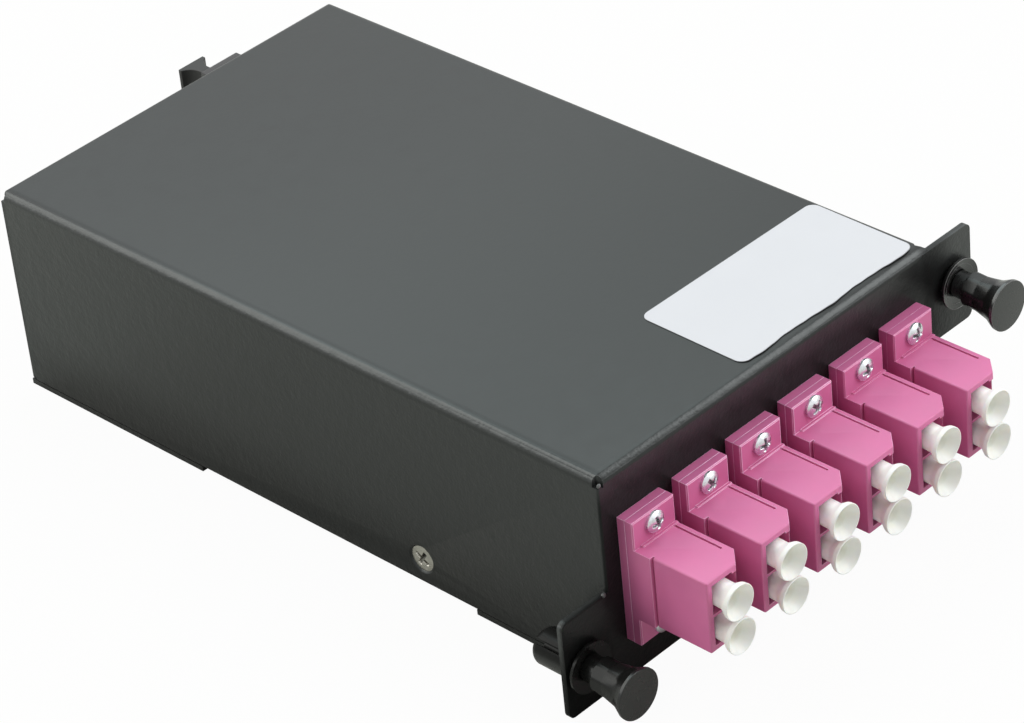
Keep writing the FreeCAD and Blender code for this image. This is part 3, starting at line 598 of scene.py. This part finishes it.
TOP_PLATE = {"Z": (38.4, 38.58)}
PANEL_FACE = {"Y": (-66.3, -66.9)}
LEFT_WALL = {"X": (-38.1, -38.28)}
LEFT_EAR = {"X": (-38.2, -40.0)}
FOLD_TOP = {"Z": (37.3, 37.8)}
LEFT_PLUNGER = {"X": (10.0, -10.0)}
LEFT_BARREL = LEFT_PLUNGER | {"Y": (-66.6, -65.6)}
POWDER_COAT = Finish(
    "powder_coat", (0.009, 0.0095, 0.0093), roughness=0.37, spread=0.03, mottle=0.10,
    mottle_size=3.0, grain_height=0.060, grain_size=0.45, swell_height=0.06, swell_size=3.2,
    tint=(0.94, 1.0, 1.0), calm=Patch(TOP_PLATE, 0.15),
    patches=(
        # Painted shade on the front of the panel under its fold; painted reflections on the right
        # ear and the ear's upper part.
        Patch(PANEL_FACE | {"X": (40.5, 37.5), "Z": (37.4, 33.0)}, 0.30),
        Patch(PANEL_FACE | {"X": (39.5, 45.0)}, 1.75),
        Patch({"X": (39.5, 45.5), "Z": (26.0, 33.0)}, 1.75),
        # Painted highlights on the fold of the left wall, with a thin line of painted shade above
        # it, and on the front fold.
        Patch(FOLD_TOP | {"X": (-36.2, -36.8)}, 0.80),
        Patch(FOLD_TOP | {"X": (-37.0, -37.5)}, 1.72),
        Patch(FOLD_TOP | {"Y": (-65.7, -66.2)}, 1.08),
        # Painted shade at the right front corner and its ear.
        Patch({"X": (35.6, 37.6), "Y": (-65.2, -66.6)}, 0.45),
        # The left ear: painted shade on its lower part, a painted highlight on its upper part and
        # painted shade on its top edge.
        Patch(LEFT_EAR | {"Z": (13.5, 7.0)}, 0.30),
        Patch(LEFT_EAR | {"Z": (11.5, 15.5)}, 1.70),
        Patch({"X": (-38.3, -39.3), "Z": (17.35, 17.65)}, 0.45),
        # Painted light on the top plate, and painted shade on its front part.
        Patch(TOP_PLATE, 1.10),
        Patch(TOP_PLATE | {"Y": (20.0, -60.0)}, 0.75),
        # The left side: painted shade at its foot, and painted light on its back part.
        Patch(LEFT_WALL | {"Z": (15.0, 2.0)}, 0.66),
        Patch(LEFT_WALL | {"Y": (0.0, 66.0)}, 1.28)))
MAGENTA = Finish("magenta_plastic", (0.65, 0.165, 0.355), roughness=0.42,
                 mottle=0.03, mottle_size=5.0, grain_height=0.0015, grain_size=0.25,
                 subsurface=0.12, subsurface_depth=1.0)
# A lighter magenta on the adapters' broken edges: a painted highlight.
MAGENTA_EDGE_HIGHLIGHT = replace(MAGENTA, title="magenta_edge_highlight", colour=(0.90, 0.48, 0.70),
                       roughness=0.36, mottle=0.15, mottle_size=1.5)
# The caps' own white, with a greenish grey as the painted shade inside their mouths.
CAP_WHITE = Finish("cap_white", (0.92, 0.915, 0.88), roughness=0.38,
                   mottle=0.02, mottle_size=2.0, grain_height=0.001, grain_size=0.3,
                   painted_shade_strength=0.9, painted_shade_colour=(0.86, 0.87, 0.80), subsurface=0.3,
                   subsurface_depth=1.0)
# The screws' cross recesses are darkened by painted shade.
ZINC = Finish("bright_zinc", (0.74, 0.77, 0.80), roughness=0.26, spread=0.06,
              mottle=0.10, mottle_size=0.7, grain_height=0.004, grain_size=0.18, painted_shade_strength=0.9,
              metallic=1.0)
NICKEL = replace(ZINC, title="satin_nickel", colour=(0.50, 0.49, 0.44), roughness=0.30,
                 mottle_size=0.9, grain_size=0.2)
PLUNGER_BLACK = Finish(
    "plunger_black", (0.008, 0.008, 0.0075), roughness=0.26, spread=0.05, mottle=0.1,
    mottle_size=2.5, grain_height=0.0012, grain_size=0.35, specular=0.74, tint=(0.96, 1.0, 1.0),
    patches=(
        # Painted shade on the left collar and barrel, and on all of the left plunger.
        Patch(LEFT_PLUNGER | {"Y": (-70.4, -69.4)}, 0.45),
        Patch(LEFT_PLUNGER, 0.58),
        # Painted shade on the waists and knobs, and painted reflections on the faces of the
        # knobs.
        Patch({"Y": (-69.9, -70.5)}, 0.50),
        Patch({"Y": (-75.6, -76.8)}, 2.0),
        # Painted shade on the upper part of the left barrel, and a painted highlight on its lower
        # part.
        Patch(LEFT_BARREL | {"Z": (8.4, 9.8)}, 0.50),
        Patch(LEFT_BARREL | {"Z": (9.0, 8.2)}, 2.3)))
# A dark grey on thin rings over the plunger's rims: a painted highlight.
PLUNGER_HIGHLIGHT = Finish("plunger_highlight", (0.13, 0.13, 0.128), roughness=0.30,
                      mottle=0.3, mottle_size=1.5, grain_height=0.0012, grain_size=0.35)
ADAPTER_BLACK = Finish("adapter_black", (0.014, 0.014, 0.015),
                       roughness=0.35, mottle=0.1, mottle_size=3.0, grain_height=0.002,
                       grain_size=0.3)
SOFT_BLACK = Finish("soft_black", (0.016, 0.016, 0.016), roughness=0.5,
                    mottle=0.1, mottle_size=2.0, grain_height=0.003, grain_size=0.3)
# A light grey on the small beads at the left front corner: a painted highlight.
BEAD_HIGHLIGHT = Finish("bead_highlight", (0.10, 0.105, 0.105), roughness=0.3, mottle=0.2,
              mottle_size=0.5, grain_height=0.004, grain_size=0.3)
# The label's own colour; painted shadow darkens its cut edge and underside.
LABEL_FILM = Finish("label_film", (0.600, 0.600, 0.632), roughness=0.5,
                    spread=0.03, mottle=0.012, mottle_size=9.0, grain_height=0.003,
                    grain_size=1.2, painted_shade_strength=0.85)
ZIRCONIA = Finish("zirconia", (0.85, 0.85, 0.82), roughness=0.15, mottle=0.02,
                  mottle_size=1.0, grain_height=0.0005, grain_size=0.2)


# ---- fasteners


@dataclass(frozen=True)
class CrossHead:
    """A cross-driven screw head as a height over a disc.

    Attributes:
        radius: of the head.
        height: of the crown over the rim.
        rim: height of the straight rim, or depth of a countersunk head's rim.
        shank: radius of the shank below the head.
        shank_length: how far the shank goes below the head.
        cone: depth over which the head narrows to its shank, 0 for a flat underside.
        span: length of the cross from tip to tip.
        arm: width of its arms.
        depth: of the cross in its middle.
        crown_power: how flat the crown is in its middle.
        taper: how much shallower the cross is at its tips, as a share.
        point: width and length of the bevel that ends the shank.
        rows: points from the middle to the rim.
        columns: points round the head.
    """

    radius: float
    height: float
    rim: float
    shank: float
    shank_length: float
    cone: float = 0.0
    span: float = 2.3
    arm: float = 0.52
    depth: float = 0.6
    crown_power: float = 2.4
    taper: float = 0.55
    point: float = 0.4
    rows: int = 30
    columns: int = 72

    def surface(self, turn_deg: float) -> Surface:
        """The head and shank, with the cross turned by an angle.

        The crown's height is h (1 - (r / R)^power) + rim, less a cross whose depth falls
        off linearly along its arms: with p the larger and q the smaller of |x| and |y| in
        the cross's own axes, depth (1 - taper p / half span) where q is under half an arm
        and p under the half span, both eased over about 0.1.

        Args:
            turn_deg: how far the cross is turned.

        Returns:
            The surface, facing along its own w axis from the plane that the head sits on.
        """
        angle = np.linspace(0, 2 * np.pi, self.columns, endpoint=False)
        share = np.linspace(0.015, 1, self.rows) ** 0.9
        r = (share * self.radius)[:, None] * np.ones(self.columns)[None, :]
        x, y = r * np.cos(angle), r * np.sin(angle)
        turn = math.radians(turn_deg)
        u = np.abs(x * math.cos(turn) + y * math.sin(turn))
        v = np.abs(y * math.cos(turn) - x * math.sin(turn))
        p, q = np.maximum(u, v), np.minimum(u, v)
        half, arm = self.span / 2, self.arm / 2
        cross = (1 - smooth_step(q, arm - 0.05, arm + 0.06)) * (
            1 - smooth_step(p, half - 0.12, half + 0.05)) * (1 - self.taper * p / half)
        crown = self.rim + self.height * (1 - (r / self.radius) ** self.crown_power)
        top = np.stack([x, y, crown - self.depth * cross], axis=-1)
        under = [(self.radius, 0.0), (self.shank, -self.cone),
                 (self.shank, -self.shank_length + self.point),
                 (self.shank - self.point, -self.shank_length)]
        below = lathe(np.array(under), self.columns).points
        # Painted shade in the cross recess, darkest where the cross is deepest.
        painted_shade = np.concatenate([cross / cross.max(), np.zeros((len(under), self.columns))])
        return Surface(np.concatenate([top, below]), painted_shade=painted_shade)


PAN_HEAD = CrossHead(radius=1.85, height=0.65, rim=0.4, shank=0.93, shank_length=7.1)
SUNK_HEAD = CrossHead(radius=2.28, height=0.12, rim=0.0, shank=1.2, shank_length=4.6,
                      cone=1.05, span=2.9, arm=0.55, depth=0.9)


def pan_screws(name: str, turned: Iterable[tuple[float, Triple]],
               facing: Facing) -> bpy.types.Object:
    """Pan-head screws as one piece, from (turn of the cross in degrees, place) of each."""
    surfaces = [PAN_HEAD.surface(turn).placed(facing, at) for turn, at in turned]
    return make_piece(name, surfaces, ZINC, crease_deg=40)


# ---- sub-assemblies


@dataclass
class Case:
    """Folded housing, bottom cover, their countersunk screws and the label.

    Attributes:
        edge: width of the sheets' broken edges.
        wall_x, panel_y: where the outer faces of the side walls and the panel are.
        screw_turns: how far the left and the right screw's cross is turned, in degrees.
        label_turn: how far the label lies askew, in radians.
        label_insets: how far each ring of its film lies inside its outline.
        label_waves: (height, rate, phase) of each wave in its front edge.
        wave_height: height of a wave that doubles the edge's lift.
        bead_places: where each light bead that paints a highlight is, and its radius.
        seam_low, seam_high: where the coated seam starts and ends.
    """

    edge: float = 0.10
    wall_x: float = 38.3
    panel_y: float = -67.0
    screw_y: float = -26.6
    screw_z: float = 5.5
    screw_sunk: float = 0.15
    screw_turns: tuple[float, float] = (58, 21)
    label_corner: float = 1.6
    label_divisions: int = 60
    label_insets: tuple[float, ...] = (0.0, 0.16, *np.linspace(0.4, 10.2, 24).tolist())
    label_waves: tuple[Triple, ...] = (
        (0.21, 0.39, -0.14), (0.06, 0.81, -math.pi / 2), (0.04, 1.9, -math.pi / 2))
    label_turn: float = -0.012
    label_reach: float = 0.16
    reach_fade: float = 1.6
    label_lift: float = 0.07
    lift_fade: float = 0.9
    wave_height: float = 0.4
    label_sunk: float = 0.02
    label_thickness: float = 0.11
    # Strength of the painted shadow along the label's cut edge, away from the front.
    rim_shadow: float = 0.15
    rim_fade: float = 0.5
    bead_flat: float = 0.7
    bead_places: tuple[tuple[Triple, float], ...] = (
        ((-37.85, -66.8, 37.1), 0.40), ((-39.0, -66.85, 17.75), 0.45))
    seam_low: float = 17.75
    seam_high: float = 36.75
    seam_back: float = -65.6
    seam_proud: float = 0.015
    seam_radius: float = 0.42
    seam_width: float = 0.9
    seam_depth: float = 0.1

    def build(self) -> None:
        """Dresses the sheet metal and lays the label."""
        eased_copy("housing", POWDER_COAT, self.edge)
        eased_copy("bottom_cover", POWDER_COAT, self.edge)
        self.side_screws()
        self.label()
        self.glint_beads()
        self.coated_seam()

    def side_screws(self) -> None:
        """Countersunk screws, their crosses a little turned, one in each side wall."""
        across = self.wall_x - self.screw_sunk - SUNK_HEAD.height
        surfaces = [SUNK_HEAD.surface(turn).placed(facing, (x, self.screw_y, self.screw_z))
                    for turn, facing, x in zip(self.screw_turns, (Facing.LEFT, Facing.RIGHT),
                                               (-across, across))]
        piece = make_piece("side_screws", surfaces, NICKEL, crease_deg=40)
        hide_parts("cover_screws")

    def label(self) -> None:
        """Thin film with rounded corners, laid a touch askew, whose front edge waves.

        The film is nested rings of the rounded outline, turned about its middle. By its
        front edge it reaches forward by (reach + wave(x)) e^(-ahead / reach fade) and lifts
        off the plate by lift (1 + wave / wave height) e^(-ahead / lift fade), where ahead is
        the distance from the front and the wave is the sum of height cos(rate x + phase).
        Painted shadow darkens the cut edge where it meets the plate, most of all in front, and
        the whole underside.
        """
        low, high = (np.array(c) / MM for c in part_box("label"))
        outline = Outline.rectangle(low[0], high[0], low[1], high[1], self.label_corner,
                                    self.label_divisions)
        flat = np.stack([outline.ring(inset) for inset in self.label_insets])
        x, y = flat[..., 0], flat[..., 1]
        wave = sum(height * np.cos(rate * x + phase) for height, rate, phase in self.label_waves)
        ahead = y - low[1]
        middle = (low + high) / 2
        forward = (self.label_reach + wave) * np.exp(-ahead / self.reach_fade)
        lift = self.label_lift * (1 + wave / self.wave_height) * np.exp(-ahead / self.lift_fade)
        top = np.stack([x - self.label_turn * (y - middle[1]),
                        y + self.label_turn * (x - middle[0]) - forward,
                        high[2] - self.label_sunk + np.clip(lift, 0, None)], axis=-1)
        under = top - np.array([0, 0, self.label_thickness])
        painted_shade = np.zeros(top.shape[:2])
        # Painted shadow along the film's cut edge, strongest in front; the underside is painted
        # fully dark.
        painted_shade[0] = self.rim_shadow + (1 - self.rim_shadow) * np.exp(-ahead[0] / self.rim_fade)
        film = Surface(np.concatenate([under[::-1], top]),
                       painted_shade=np.concatenate([np.ones(under.shape[:2]), painted_shade]))
        piece = make_piece("label_film", [film], LABEL_FILM, crease_deg=60)
        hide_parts("label")

    def glint_beads(self) -> None:
        """Small light beads whose colour paints a highlight, by the corner's relief and the ear's
        root.

        Each bead is a ball of radius r flattened along one axis, its profile
        r (cos t, flat sin t).
        """
        turn = np.linspace(-np.pi / 2, np.pi / 2, 9)
        arc = np.column_stack([np.maximum(np.cos(turn), 0.03), self.bead_flat * np.sin(turn)])
        surfaces = [lathe(radius * arc, columns=16).placed(Facing.FRONT, at)
                    for at, radius in self.bead_places]
        make_piece("highlight_beads", surfaces, BEAD_HIGHLIGHT, crease_deg=60)

    def coated_seam(self) -> None:
        """The coat that bridges the seam of the left upright corner, rounded in front.

        A closed outline in x and y, carried straight up from the ear to the relief hole.
        """
        wall, panel, proud = -self.wall_x, self.panel_y, self.seam_proud
        section = softened([
            (wall - proud, self.seam_back, 0), (wall - proud, panel - proud, self.seam_radius),
            (wall + self.seam_width, panel - proud, 0),
            (wall + self.seam_width, panel + self.seam_depth, 0),
            (wall + self.seam_depth, self.seam_back, 0)], closed=True, steps=8)
        heights = np.array([self.seam_low, self.seam_high])
        points = np.stack([np.column_stack([section, np.full(len(section), z)]) for z in heights])
        make_piece("coated_seam", [Surface(points)], POWDER_COAT, crease_deg=40)


@dataclass
class AdapterRow:
    """Six duplex adapters with their screws, nuts, sleeves and dust caps.

    Attributes:
        first_x, pitch: where the leftmost adapter's screws stand, and the step to the next.
        edges: width of the broken edges of each half of an adapter.
        screw_turns: how far each cross is turned, upper and lower of each adapter.
        port_shift: from an adapter's screws to its ports, across the panel.
        cap_outside: corners (radius, height, rounding) from the plug's end over the rim to
            the web.
        cap_bore: (radius, height) from the web back to the plug's end.
        cap_shade: the heights between which the mouth's painted shade fades out.
        cap_droop: how far a cap's axis turns down, in radians.
        cap_pivot: how far behind the adapter's nose it turns.
        levels: name of each level, and its share of the screws' or the ports' spacing.
    """

    count: int = 6
    pitch: float = 12.1
    first_x: float = -30.4
    middle_z: float = 18.55
    flange_y: float = -70.1
    nose_y: float = -83.9
    edges: tuple[tuple[str, float], ...] = (("front", 0.13), ("rear", 0.22))
    screw_spacing: float = 18.6
    screw_turns: tuple[float, ...] = (12, 71, 38, 55, 84, 27, 47, 63, 5, 33, 79, 18)
    port_shift: float = -1.0
    port_pitch: float = 6.25
    cap_outside: tuple[Triple, ...] = (
        (1.65, -7.55, 0), (1.72, -7.6, 0.04), (2.15, -7.6, 0.25), (2.15, 1.35, 1.1),
        (2.98, 2.62, 0.35), (3.05, 3.4, 0.08), (2.88, 3.38, 0.08), (2.5, 2.7, 0.9),
        (1.9, 1.6, 0.9), (1.7, 0.62, 0.15), (0.03, 0.6, 0))
    cap_bore: tuple[tuple[float, float], ...] = ((0.03, 0.0), (1.7, 0.0), (1.7, -7.5))
    cap_shade: tuple[float, float] = (0.6, 3.3)
    cap_droop: float = 0.05
    cap_pivot: float = 3.8
    levels: tuple[tuple[str, float], ...] = (("upper", 0.5), ("lower", -0.5))

    def build(self) -> None:
        """Builds each adapter's visible pieces from left to right."""
        for number in range(1, self.count + 1):
            for half, edge in self.edges:
                eased_copy(f"adapter_{half}_{number}", MAGENTA, edge,
                           edge_highlight=MAGENTA_EDGE_HIGHLIGHT)
            for level, share in self.levels:
                self.dust_cap(number, level, share)
                dress(f"sleeve_{number}_{level}", ZIRCONIA)
        self.screws()
        dress("adapter_nuts", ZINC)

    def middle_x(self, number: int) -> float:
        """Where an adapter's screws stand across the panel."""
        return self.first_x + self.pitch * (number - 1)

    def screws(self) -> None:
        """Pan-head screws above and below each adapter, each cross turned its own way."""
        places = [(self.middle_x(number), self.flange_y,
                   self.middle_z + share * self.screw_spacing)
                  for number in range(1, self.count + 1) for _, share in self.levels]
        piece = pan_screws("panel_screws", zip(self.screw_turns, places), Facing.FRONT)
        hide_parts("adapter_screws")

    def dust_cap(self, number: int, level: str, share: float) -> None:
        """Thin-walled cap: a tube flared to a round rim, closed by a web inside its mouth.

        The outside is a straight tube that opens along a quarter-round flare to the rim.
        Inside the thin rim the mouth narrows in a funnel to the bore and the web. The
        profile is carried round the axis, which droops about the middle of its plug as far
        as the port's play lets it. Painted shade darkens the mouth, full at the web and gone by
        the rim.

        Args:
            number: the adapter's number from the left.
            level: "upper" or "lower" port.
            share: how far above the row's middle the port is, in port pitches.
        """
        profile = softened(self.cap_outside, closed=False, steps=5)
        ring = np.concatenate([profile, np.array(self.cap_bore)])
        points = lathe(ring, columns=44).points
        order = np.arange(len(ring))
        mouth = (order > np.argmax(ring[:, 0])) & (order < len(profile))
        # Painted shade inside the mouth, full by the web and gone by the rim.
        deep = mouth * (1 - smooth_step(ring[:, 1], *self.cap_shade))
        painted_shade = np.broadcast_to(deep[:, None], points.shape[:2])
        points[..., 1] -= self.cap_droop * (points[..., 2] + self.cap_pivot)
        surface = Surface(points, ends_open=True, painted_shade=painted_shade)
        at = (self.middle_x(number) + self.port_shift, self.nose_y,
              self.middle_z + share * self.port_pitch)
        piece = make_piece(f"port_cap_{number}_{level}", [surface.placed(Facing.FRONT, at)],
                           CAP_WHITE, crease_deg=50,
                           body=f"cap_{number}_{level}")
        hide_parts(f"dust_cap_{number}_{level}")


@dataclass
class Plungers:
    """Two push-pull plungers: a collar and split barrel in each ear, and its pin.

    Attributes:
        spread: from one plunger's axis to the other's.
        sides: name, share of the spread and height of each.
        grommet_edge: width of the grommets' broken edges.
        pin_profile: corners (radius, height, rounding) from the tip to the knob's face.
        collar_face: height of the collar's face, where the pin's droop starts.
        facets: sides of the waist, and waist_flat the distance of each from the axis.
        waist_start, waist_end: heights over which the facets come and go.
        droop: how far the pin turns down in front of its collar, in radians.
        collar_highlights, knob_highlight: (radius, height, thickness) of thin lighter rings that
            paint the rims' highlights.
    """

    spread: float = 88.4
    sides: tuple[tuple[str, float, float], ...] = (("left", -0.5, 8.1), ("right", 0.5, 28.7))
    panel_y: float = -67.0
    grommet_edge: float = 0.10
    pin_profile: tuple[Triple, ...] = (
        (0.05, -7.4, 0), (1.52, -7.4, 0.3), (1.52, 1.05, 0), (2.25, 1.05, 0.1),
        (2.25, 3.2, 0.2), (2.95, 3.45, 0.35), (2.95, 5.7, 1.6), (3.35, 8.4, 3.0),
        (4.24, 10.15, 0.3), (4.27, 10.7, 0.10), (0.05, 10.7, 0))
    collar_face: float = 1.05
    facets: int = 8
    waist_flat: float = 2.80
    waist_start: tuple[float, float] = (3.0, 3.3)
    waist_end: tuple[float, float] = (5.6, 6.6)
    droop: float = 0.05
    collar_highlights: tuple[Triple, ...] = ((4.25, 1.27, 0.07), (3.4, 1.12, 0.035))
    knob_highlight: Triple = (4.22, 10.67, 0.05)

    def build(self) -> None:
        """Builds both plungers, and thin lighter rings on the right one's rims that paint their
        highlights.
        """
        for side, share, height in self.sides:
            at = (share * self.spread, self.panel_y, height)
            self.pin(side, at)
            eased_copy(f"plunger_grommet_{side}", PLUNGER_BLACK,
                       self.grommet_edge, crease_deg=28)
        lines = [self.ring(*line).placed(Facing.FRONT, at) for line in self.collar_highlights]
        make_piece("collar_highlights", lines, PLUNGER_HIGHLIGHT, crease_deg=60)
        line = self.ring(*self.knob_highlight)
        line.points[..., 1] -= self.droop * (line.points[..., 2] - self.collar_face)
        make_piece("knob_highlight", [line.placed(Facing.FRONT, at)], PLUNGER_HIGHLIGHT,
                   crease_deg=60, body="plunger_right")

    @staticmethod
    def ring(radius: float, height: float, thickness: float) -> Surface:
        """A thin ring of round section, used here for painted highlights.

        Its section is (radius + t cos a, height + t sin a), with t the thickness, carried
        round the axis.

        Args:
            radius: from the axis to the wire's middle.
            height: of the wire's middle.
            thickness: the wire's own radius.

        Returns:
            The ring's surface, in the piece's own u, v, w.
        """
        turn = np.linspace(0, 2 * np.pi, 8, endpoint=False)
        section = np.column_stack([radius + thickness * np.cos(turn),
                                   height + thickness * np.sin(turn)])
        return replace(lathe(section, columns=72), ends_open=True)

    def pin(self, side: str, at: Sequence[float]) -> None:
        """Pin with a flared knob, a faceted waist and a round neck, turned as one.

        The radius is a profile of height h carried round the axis; over the waist it is
        the lesser of the profile and of a regular polygon, flat / cos(a mod facet). In front
        of its collar the loose pin droops in proportion to h.

        Args:
            side: "left" or "right".
            at: where the axis meets the panel, in millimetres.
        """
        profile = softened(self.pin_profile, closed=False, steps=8)
        columns = 96
        points = lathe(profile, columns).points
        angle = np.linspace(0, 2 * np.pi, columns, endpoint=False)
        step = 2 * np.pi / self.facets
        flat = self.waist_flat / np.cos((angle + step / 2) % step - step / 2)
        over = smooth_step(profile[:, 1], *self.waist_start) * (
            1 - smooth_step(profile[:, 1], *self.waist_end))
        radius = profile[:, 0][:, None]
        cut = np.minimum(radius, flat[None, :])
        mixed = radius + over[:, None] * (cut - radius)
        points[..., :2] *= (mixed / radius)[..., None]
        points[..., 1] -= self.droop * np.clip(points[..., 2] - self.collar_face, 0, None)
        piece = make_piece(f"pin_{side}", [Surface(points).placed(Facing.FRONT, at)],
                           PLUNGER_BLACK, crease_deg=35,
                           body=f"plunger_{side}")
        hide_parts(f"plunger_pin_{side}")


@dataclass
class RearAdapter:
    """The upright adapter on the back wall, its screws and its T-handled cap."""

    x: float = 27.0
    z: float = 18.55
    flange_y: float = 70.1
    screw_spacing: float = 18.6
    screw_turns: tuple[tuple[float, float], ...] = ((40, 0.5), (66, -0.5))
    adapter_edge: float = 0.08
    cap_edge: float = 0.12

    def build(self) -> None:
        """Builds the rear adapter's pieces."""
        for half in ("outer", "inner"):
            eased_copy(f"mpo_adapter_{half}", ADAPTER_BLACK,
                       self.adapter_edge)
        eased_copy("mpo_dust_cap", SOFT_BLACK, self.cap_edge,
                   body="mpo_cap")
        turned = [(turn, (self.x, self.flange_y, self.z + share * self.screw_spacing))
                  for turn, share in self.screw_turns]
        piece = pan_screws("rear_screws", turned, Facing.BACK)
        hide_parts("mpo_screws")
        dress("mpo_nuts", ZINC)


def dress(node: str, finish: Finish) -> None:
    """Gives a node its finish and leaves its shape alone.

    Args:
        node: the node.
        finish: what it is dressed in.
    """
    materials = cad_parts[node].data.materials
    materials.clear()
    materials.append(finish.material())


# ---- studio


def towards(azimuth_deg: float, height_deg: float) -> Vector:
    """The unit direction at an azimuth, 0 in front and 90 to the right, and a height."""
    a, e = math.radians(azimuth_deg), math.radians(height_deg)
    return Vector((math.sin(a) * math.cos(e), -math.cos(a) * math.cos(e), math.sin(e)))


@dataclass
class SoftBox:
    """A square area light that looks at a point.

    Attributes:
        azimuth_deg: where it stands round the object, 0 in front and 90 to its right.
        height_deg: how high it stands.
        distance: in metres.
        size: in metres.
        power: in watts.
        tint: colour of the light.
    """

    name: str
    azimuth_deg: float
    height_deg: float
    distance: float
    size: float
    power: float
    tint: Triple = (1.0, 1.0, 1.0)

    def build(self, target: Vector) -> None:
        """Hangs the light and turns it to the target.

        Args:
            target: the point that it looks at, in metres.
        """
        away = towards(self.azimuth_deg, self.height_deg)
        lamp = bpy.data.lights.new(self.name, "AREA")
        lamp.shape = "SQUARE"
        lamp.size = self.size
        lamp.energy = self.power
        lamp.color = self.tint
        holder = into_scene(self.name, lamp)
        holder.matrix_world = Matrix.Translation(target + away * self.distance) @ (
            away.to_track_quat("Z", "Y").to_matrix().to_4x4())


@dataclass
class Studio:
    """Pale floor, soft lights, white surround and the camera.

    Attributes:
        eye: where the camera stands, in millimetres.
        clip: the nearest and furthest that it sees, in metres.
        target: what the lights look at, in metres.
        surround: strength of the surround as a light.
        floor_half: half the floor's width, in metres.
        floor_drop: how far the floor lies under the object, in millimetres.
        floor_glow: how much of the floor the camera sees as plain white, as a share.
    """

    azimuth_deg: float = -43.106
    elevation_deg: float = 34.339
    roll_deg: float = -6.036
    eye: Triple = (-377.148, -413.788, 392.0)
    lens_mm: float = 145.407
    sensor_mm: float = 36.0
    clip: tuple[float, float] = (0.02, 20.0)
    target: Triple = (0.0, -0.01, 0.02)
    surround: float = 0.30
    floor_half: float = 4.0
    floor_drop: float = 0.05
    floor_colour: Triple = (0.64, 0.64, 0.60)
    floor_roughness: float = 0.9
    floor_glow: float = 0.96
    boxes: tuple[SoftBox, ...] = (
        SoftBox("top_box", 150, 64, 0.9, 0.8, 4.3, (0.87, 1.0, 1.0)),
        SoftBox("left_box", -142, 38, 1.0, 0.85, 5.6, (1.0, 0.975, 0.925)),
        SoftBox("front_box", 44, 35, 1.0, 0.7, 6.6),
    )

    def build(self) -> None:
        """Sets the stage, the lights and the camera."""
        self.world()
        self.floor()
        for box in self.boxes:
            box.build(Vector(self.target))
        self.camera()
        bpy.context.scene.view_settings.view_transform = "Standard"

    def world(self) -> None:
        """White where the camera or a reflection looks, and dimmer as a light."""
        world = bpy.data.worlds.new("surround")
        tree = Tree(world)
        rays = tree.add("LightPath").outputs
        seen = tree.add("Math", {0: rays["Is Camera Ray"], 1: rays["Is Glossy Ray"]},
                        operation="MAXIMUM")
        strength = tree.add("MapRange", {"Value": seen.outputs[0], "To Min": self.surround,
                                         "To Max": 1.0})
        tree.fill(tree.nodes["Background"], {"Color": WHITE,
                                             "Strength": strength.outputs["Result"]})
        bpy.context.scene.world = world

    def floor(self) -> None:
        """A wide pale floor that shows white to the camera and keeps a soft shadow.

        It lies just under the object and is seen through from below.
        """
        half, low = self.floor_half, -self.floor_drop * MM
        mesh = bpy.data.meshes.new("floor")
        mesh.from_pydata([(-half, -half, low), (half, -half, low), (half, half, low),
                          (-half, half, low)], [], [(0, 1, 2, 3)])
        material = bpy.data.materials.new("floor_paper")
        tree = Tree(material)
        paper = tree.fill(tree.nodes["Principled BSDF"], {
            "Base Color": self.floor_colour + (1.0,), "Roughness": self.floor_roughness})
        glow = tree.add("Emission", {"Color": WHITE})
        seen = tree.add("LightPath").outputs["Is Camera Ray"]
        back = tree.add("NewGeometry").outputs["Backfacing"]
        above = tree.add("MixShader", {"Fac": tree.product([seen, self.floor_glow]),
                                       1: paper.outputs["BSDF"], 2: glow.outputs["Emission"]})
        clear = tree.add("BsdfTransparent")
        both = tree.add("MixShader", {"Fac": tree.product([back, seen]),
                                      1: above.outputs["Shader"], 2: clear.outputs["BSDF"]})
        tree.fill(tree.nodes["Material Output"], {"Surface": both.outputs["Shader"]})
        mesh.materials.append(material)
        floor = into_scene("floor", mesh)

    def camera(self) -> None:
        """Stands the camera at its eye point, turned by azimuth, elevation and roll."""
        r = math.radians(self.roll_deg)
        back = towards(self.azimuth_deg, self.elevation_deg)
        right = (-back).cross(Vector((0, 0, 1))).normalized()
        up = right.cross(-back)
        across = right * math.cos(r) + up * math.sin(r)
        upward = up * math.cos(r) - right * math.sin(r)
        lens = bpy.data.cameras.new("camera")
        lens.sensor_width = self.sensor_mm
        lens.lens = self.lens_mm
        lens.clip_start, lens.clip_end = self.clip
        camera = into_scene("camera", lens)
        turn = Matrix((across, upward, back)).transposed().to_4x4()
        camera.matrix_world = Matrix.Translation(Vector(self.eye) * MM) @ turn
        bpy.context.scene.camera = camera


def main() -> None:
    """Builds the studio and the sub-assemblies in order."""
    logging.basicConfig(level=logging.INFO, format="%(name)s: %(message)s")
    Studio().build()
    for assembly in (Case(), AdapterRow(), Plungers(), RearAdapter()):
        assembly.build()
        LOG.info("%s built", type(assembly).__name__)


if __name__ == "__main__":
    main()
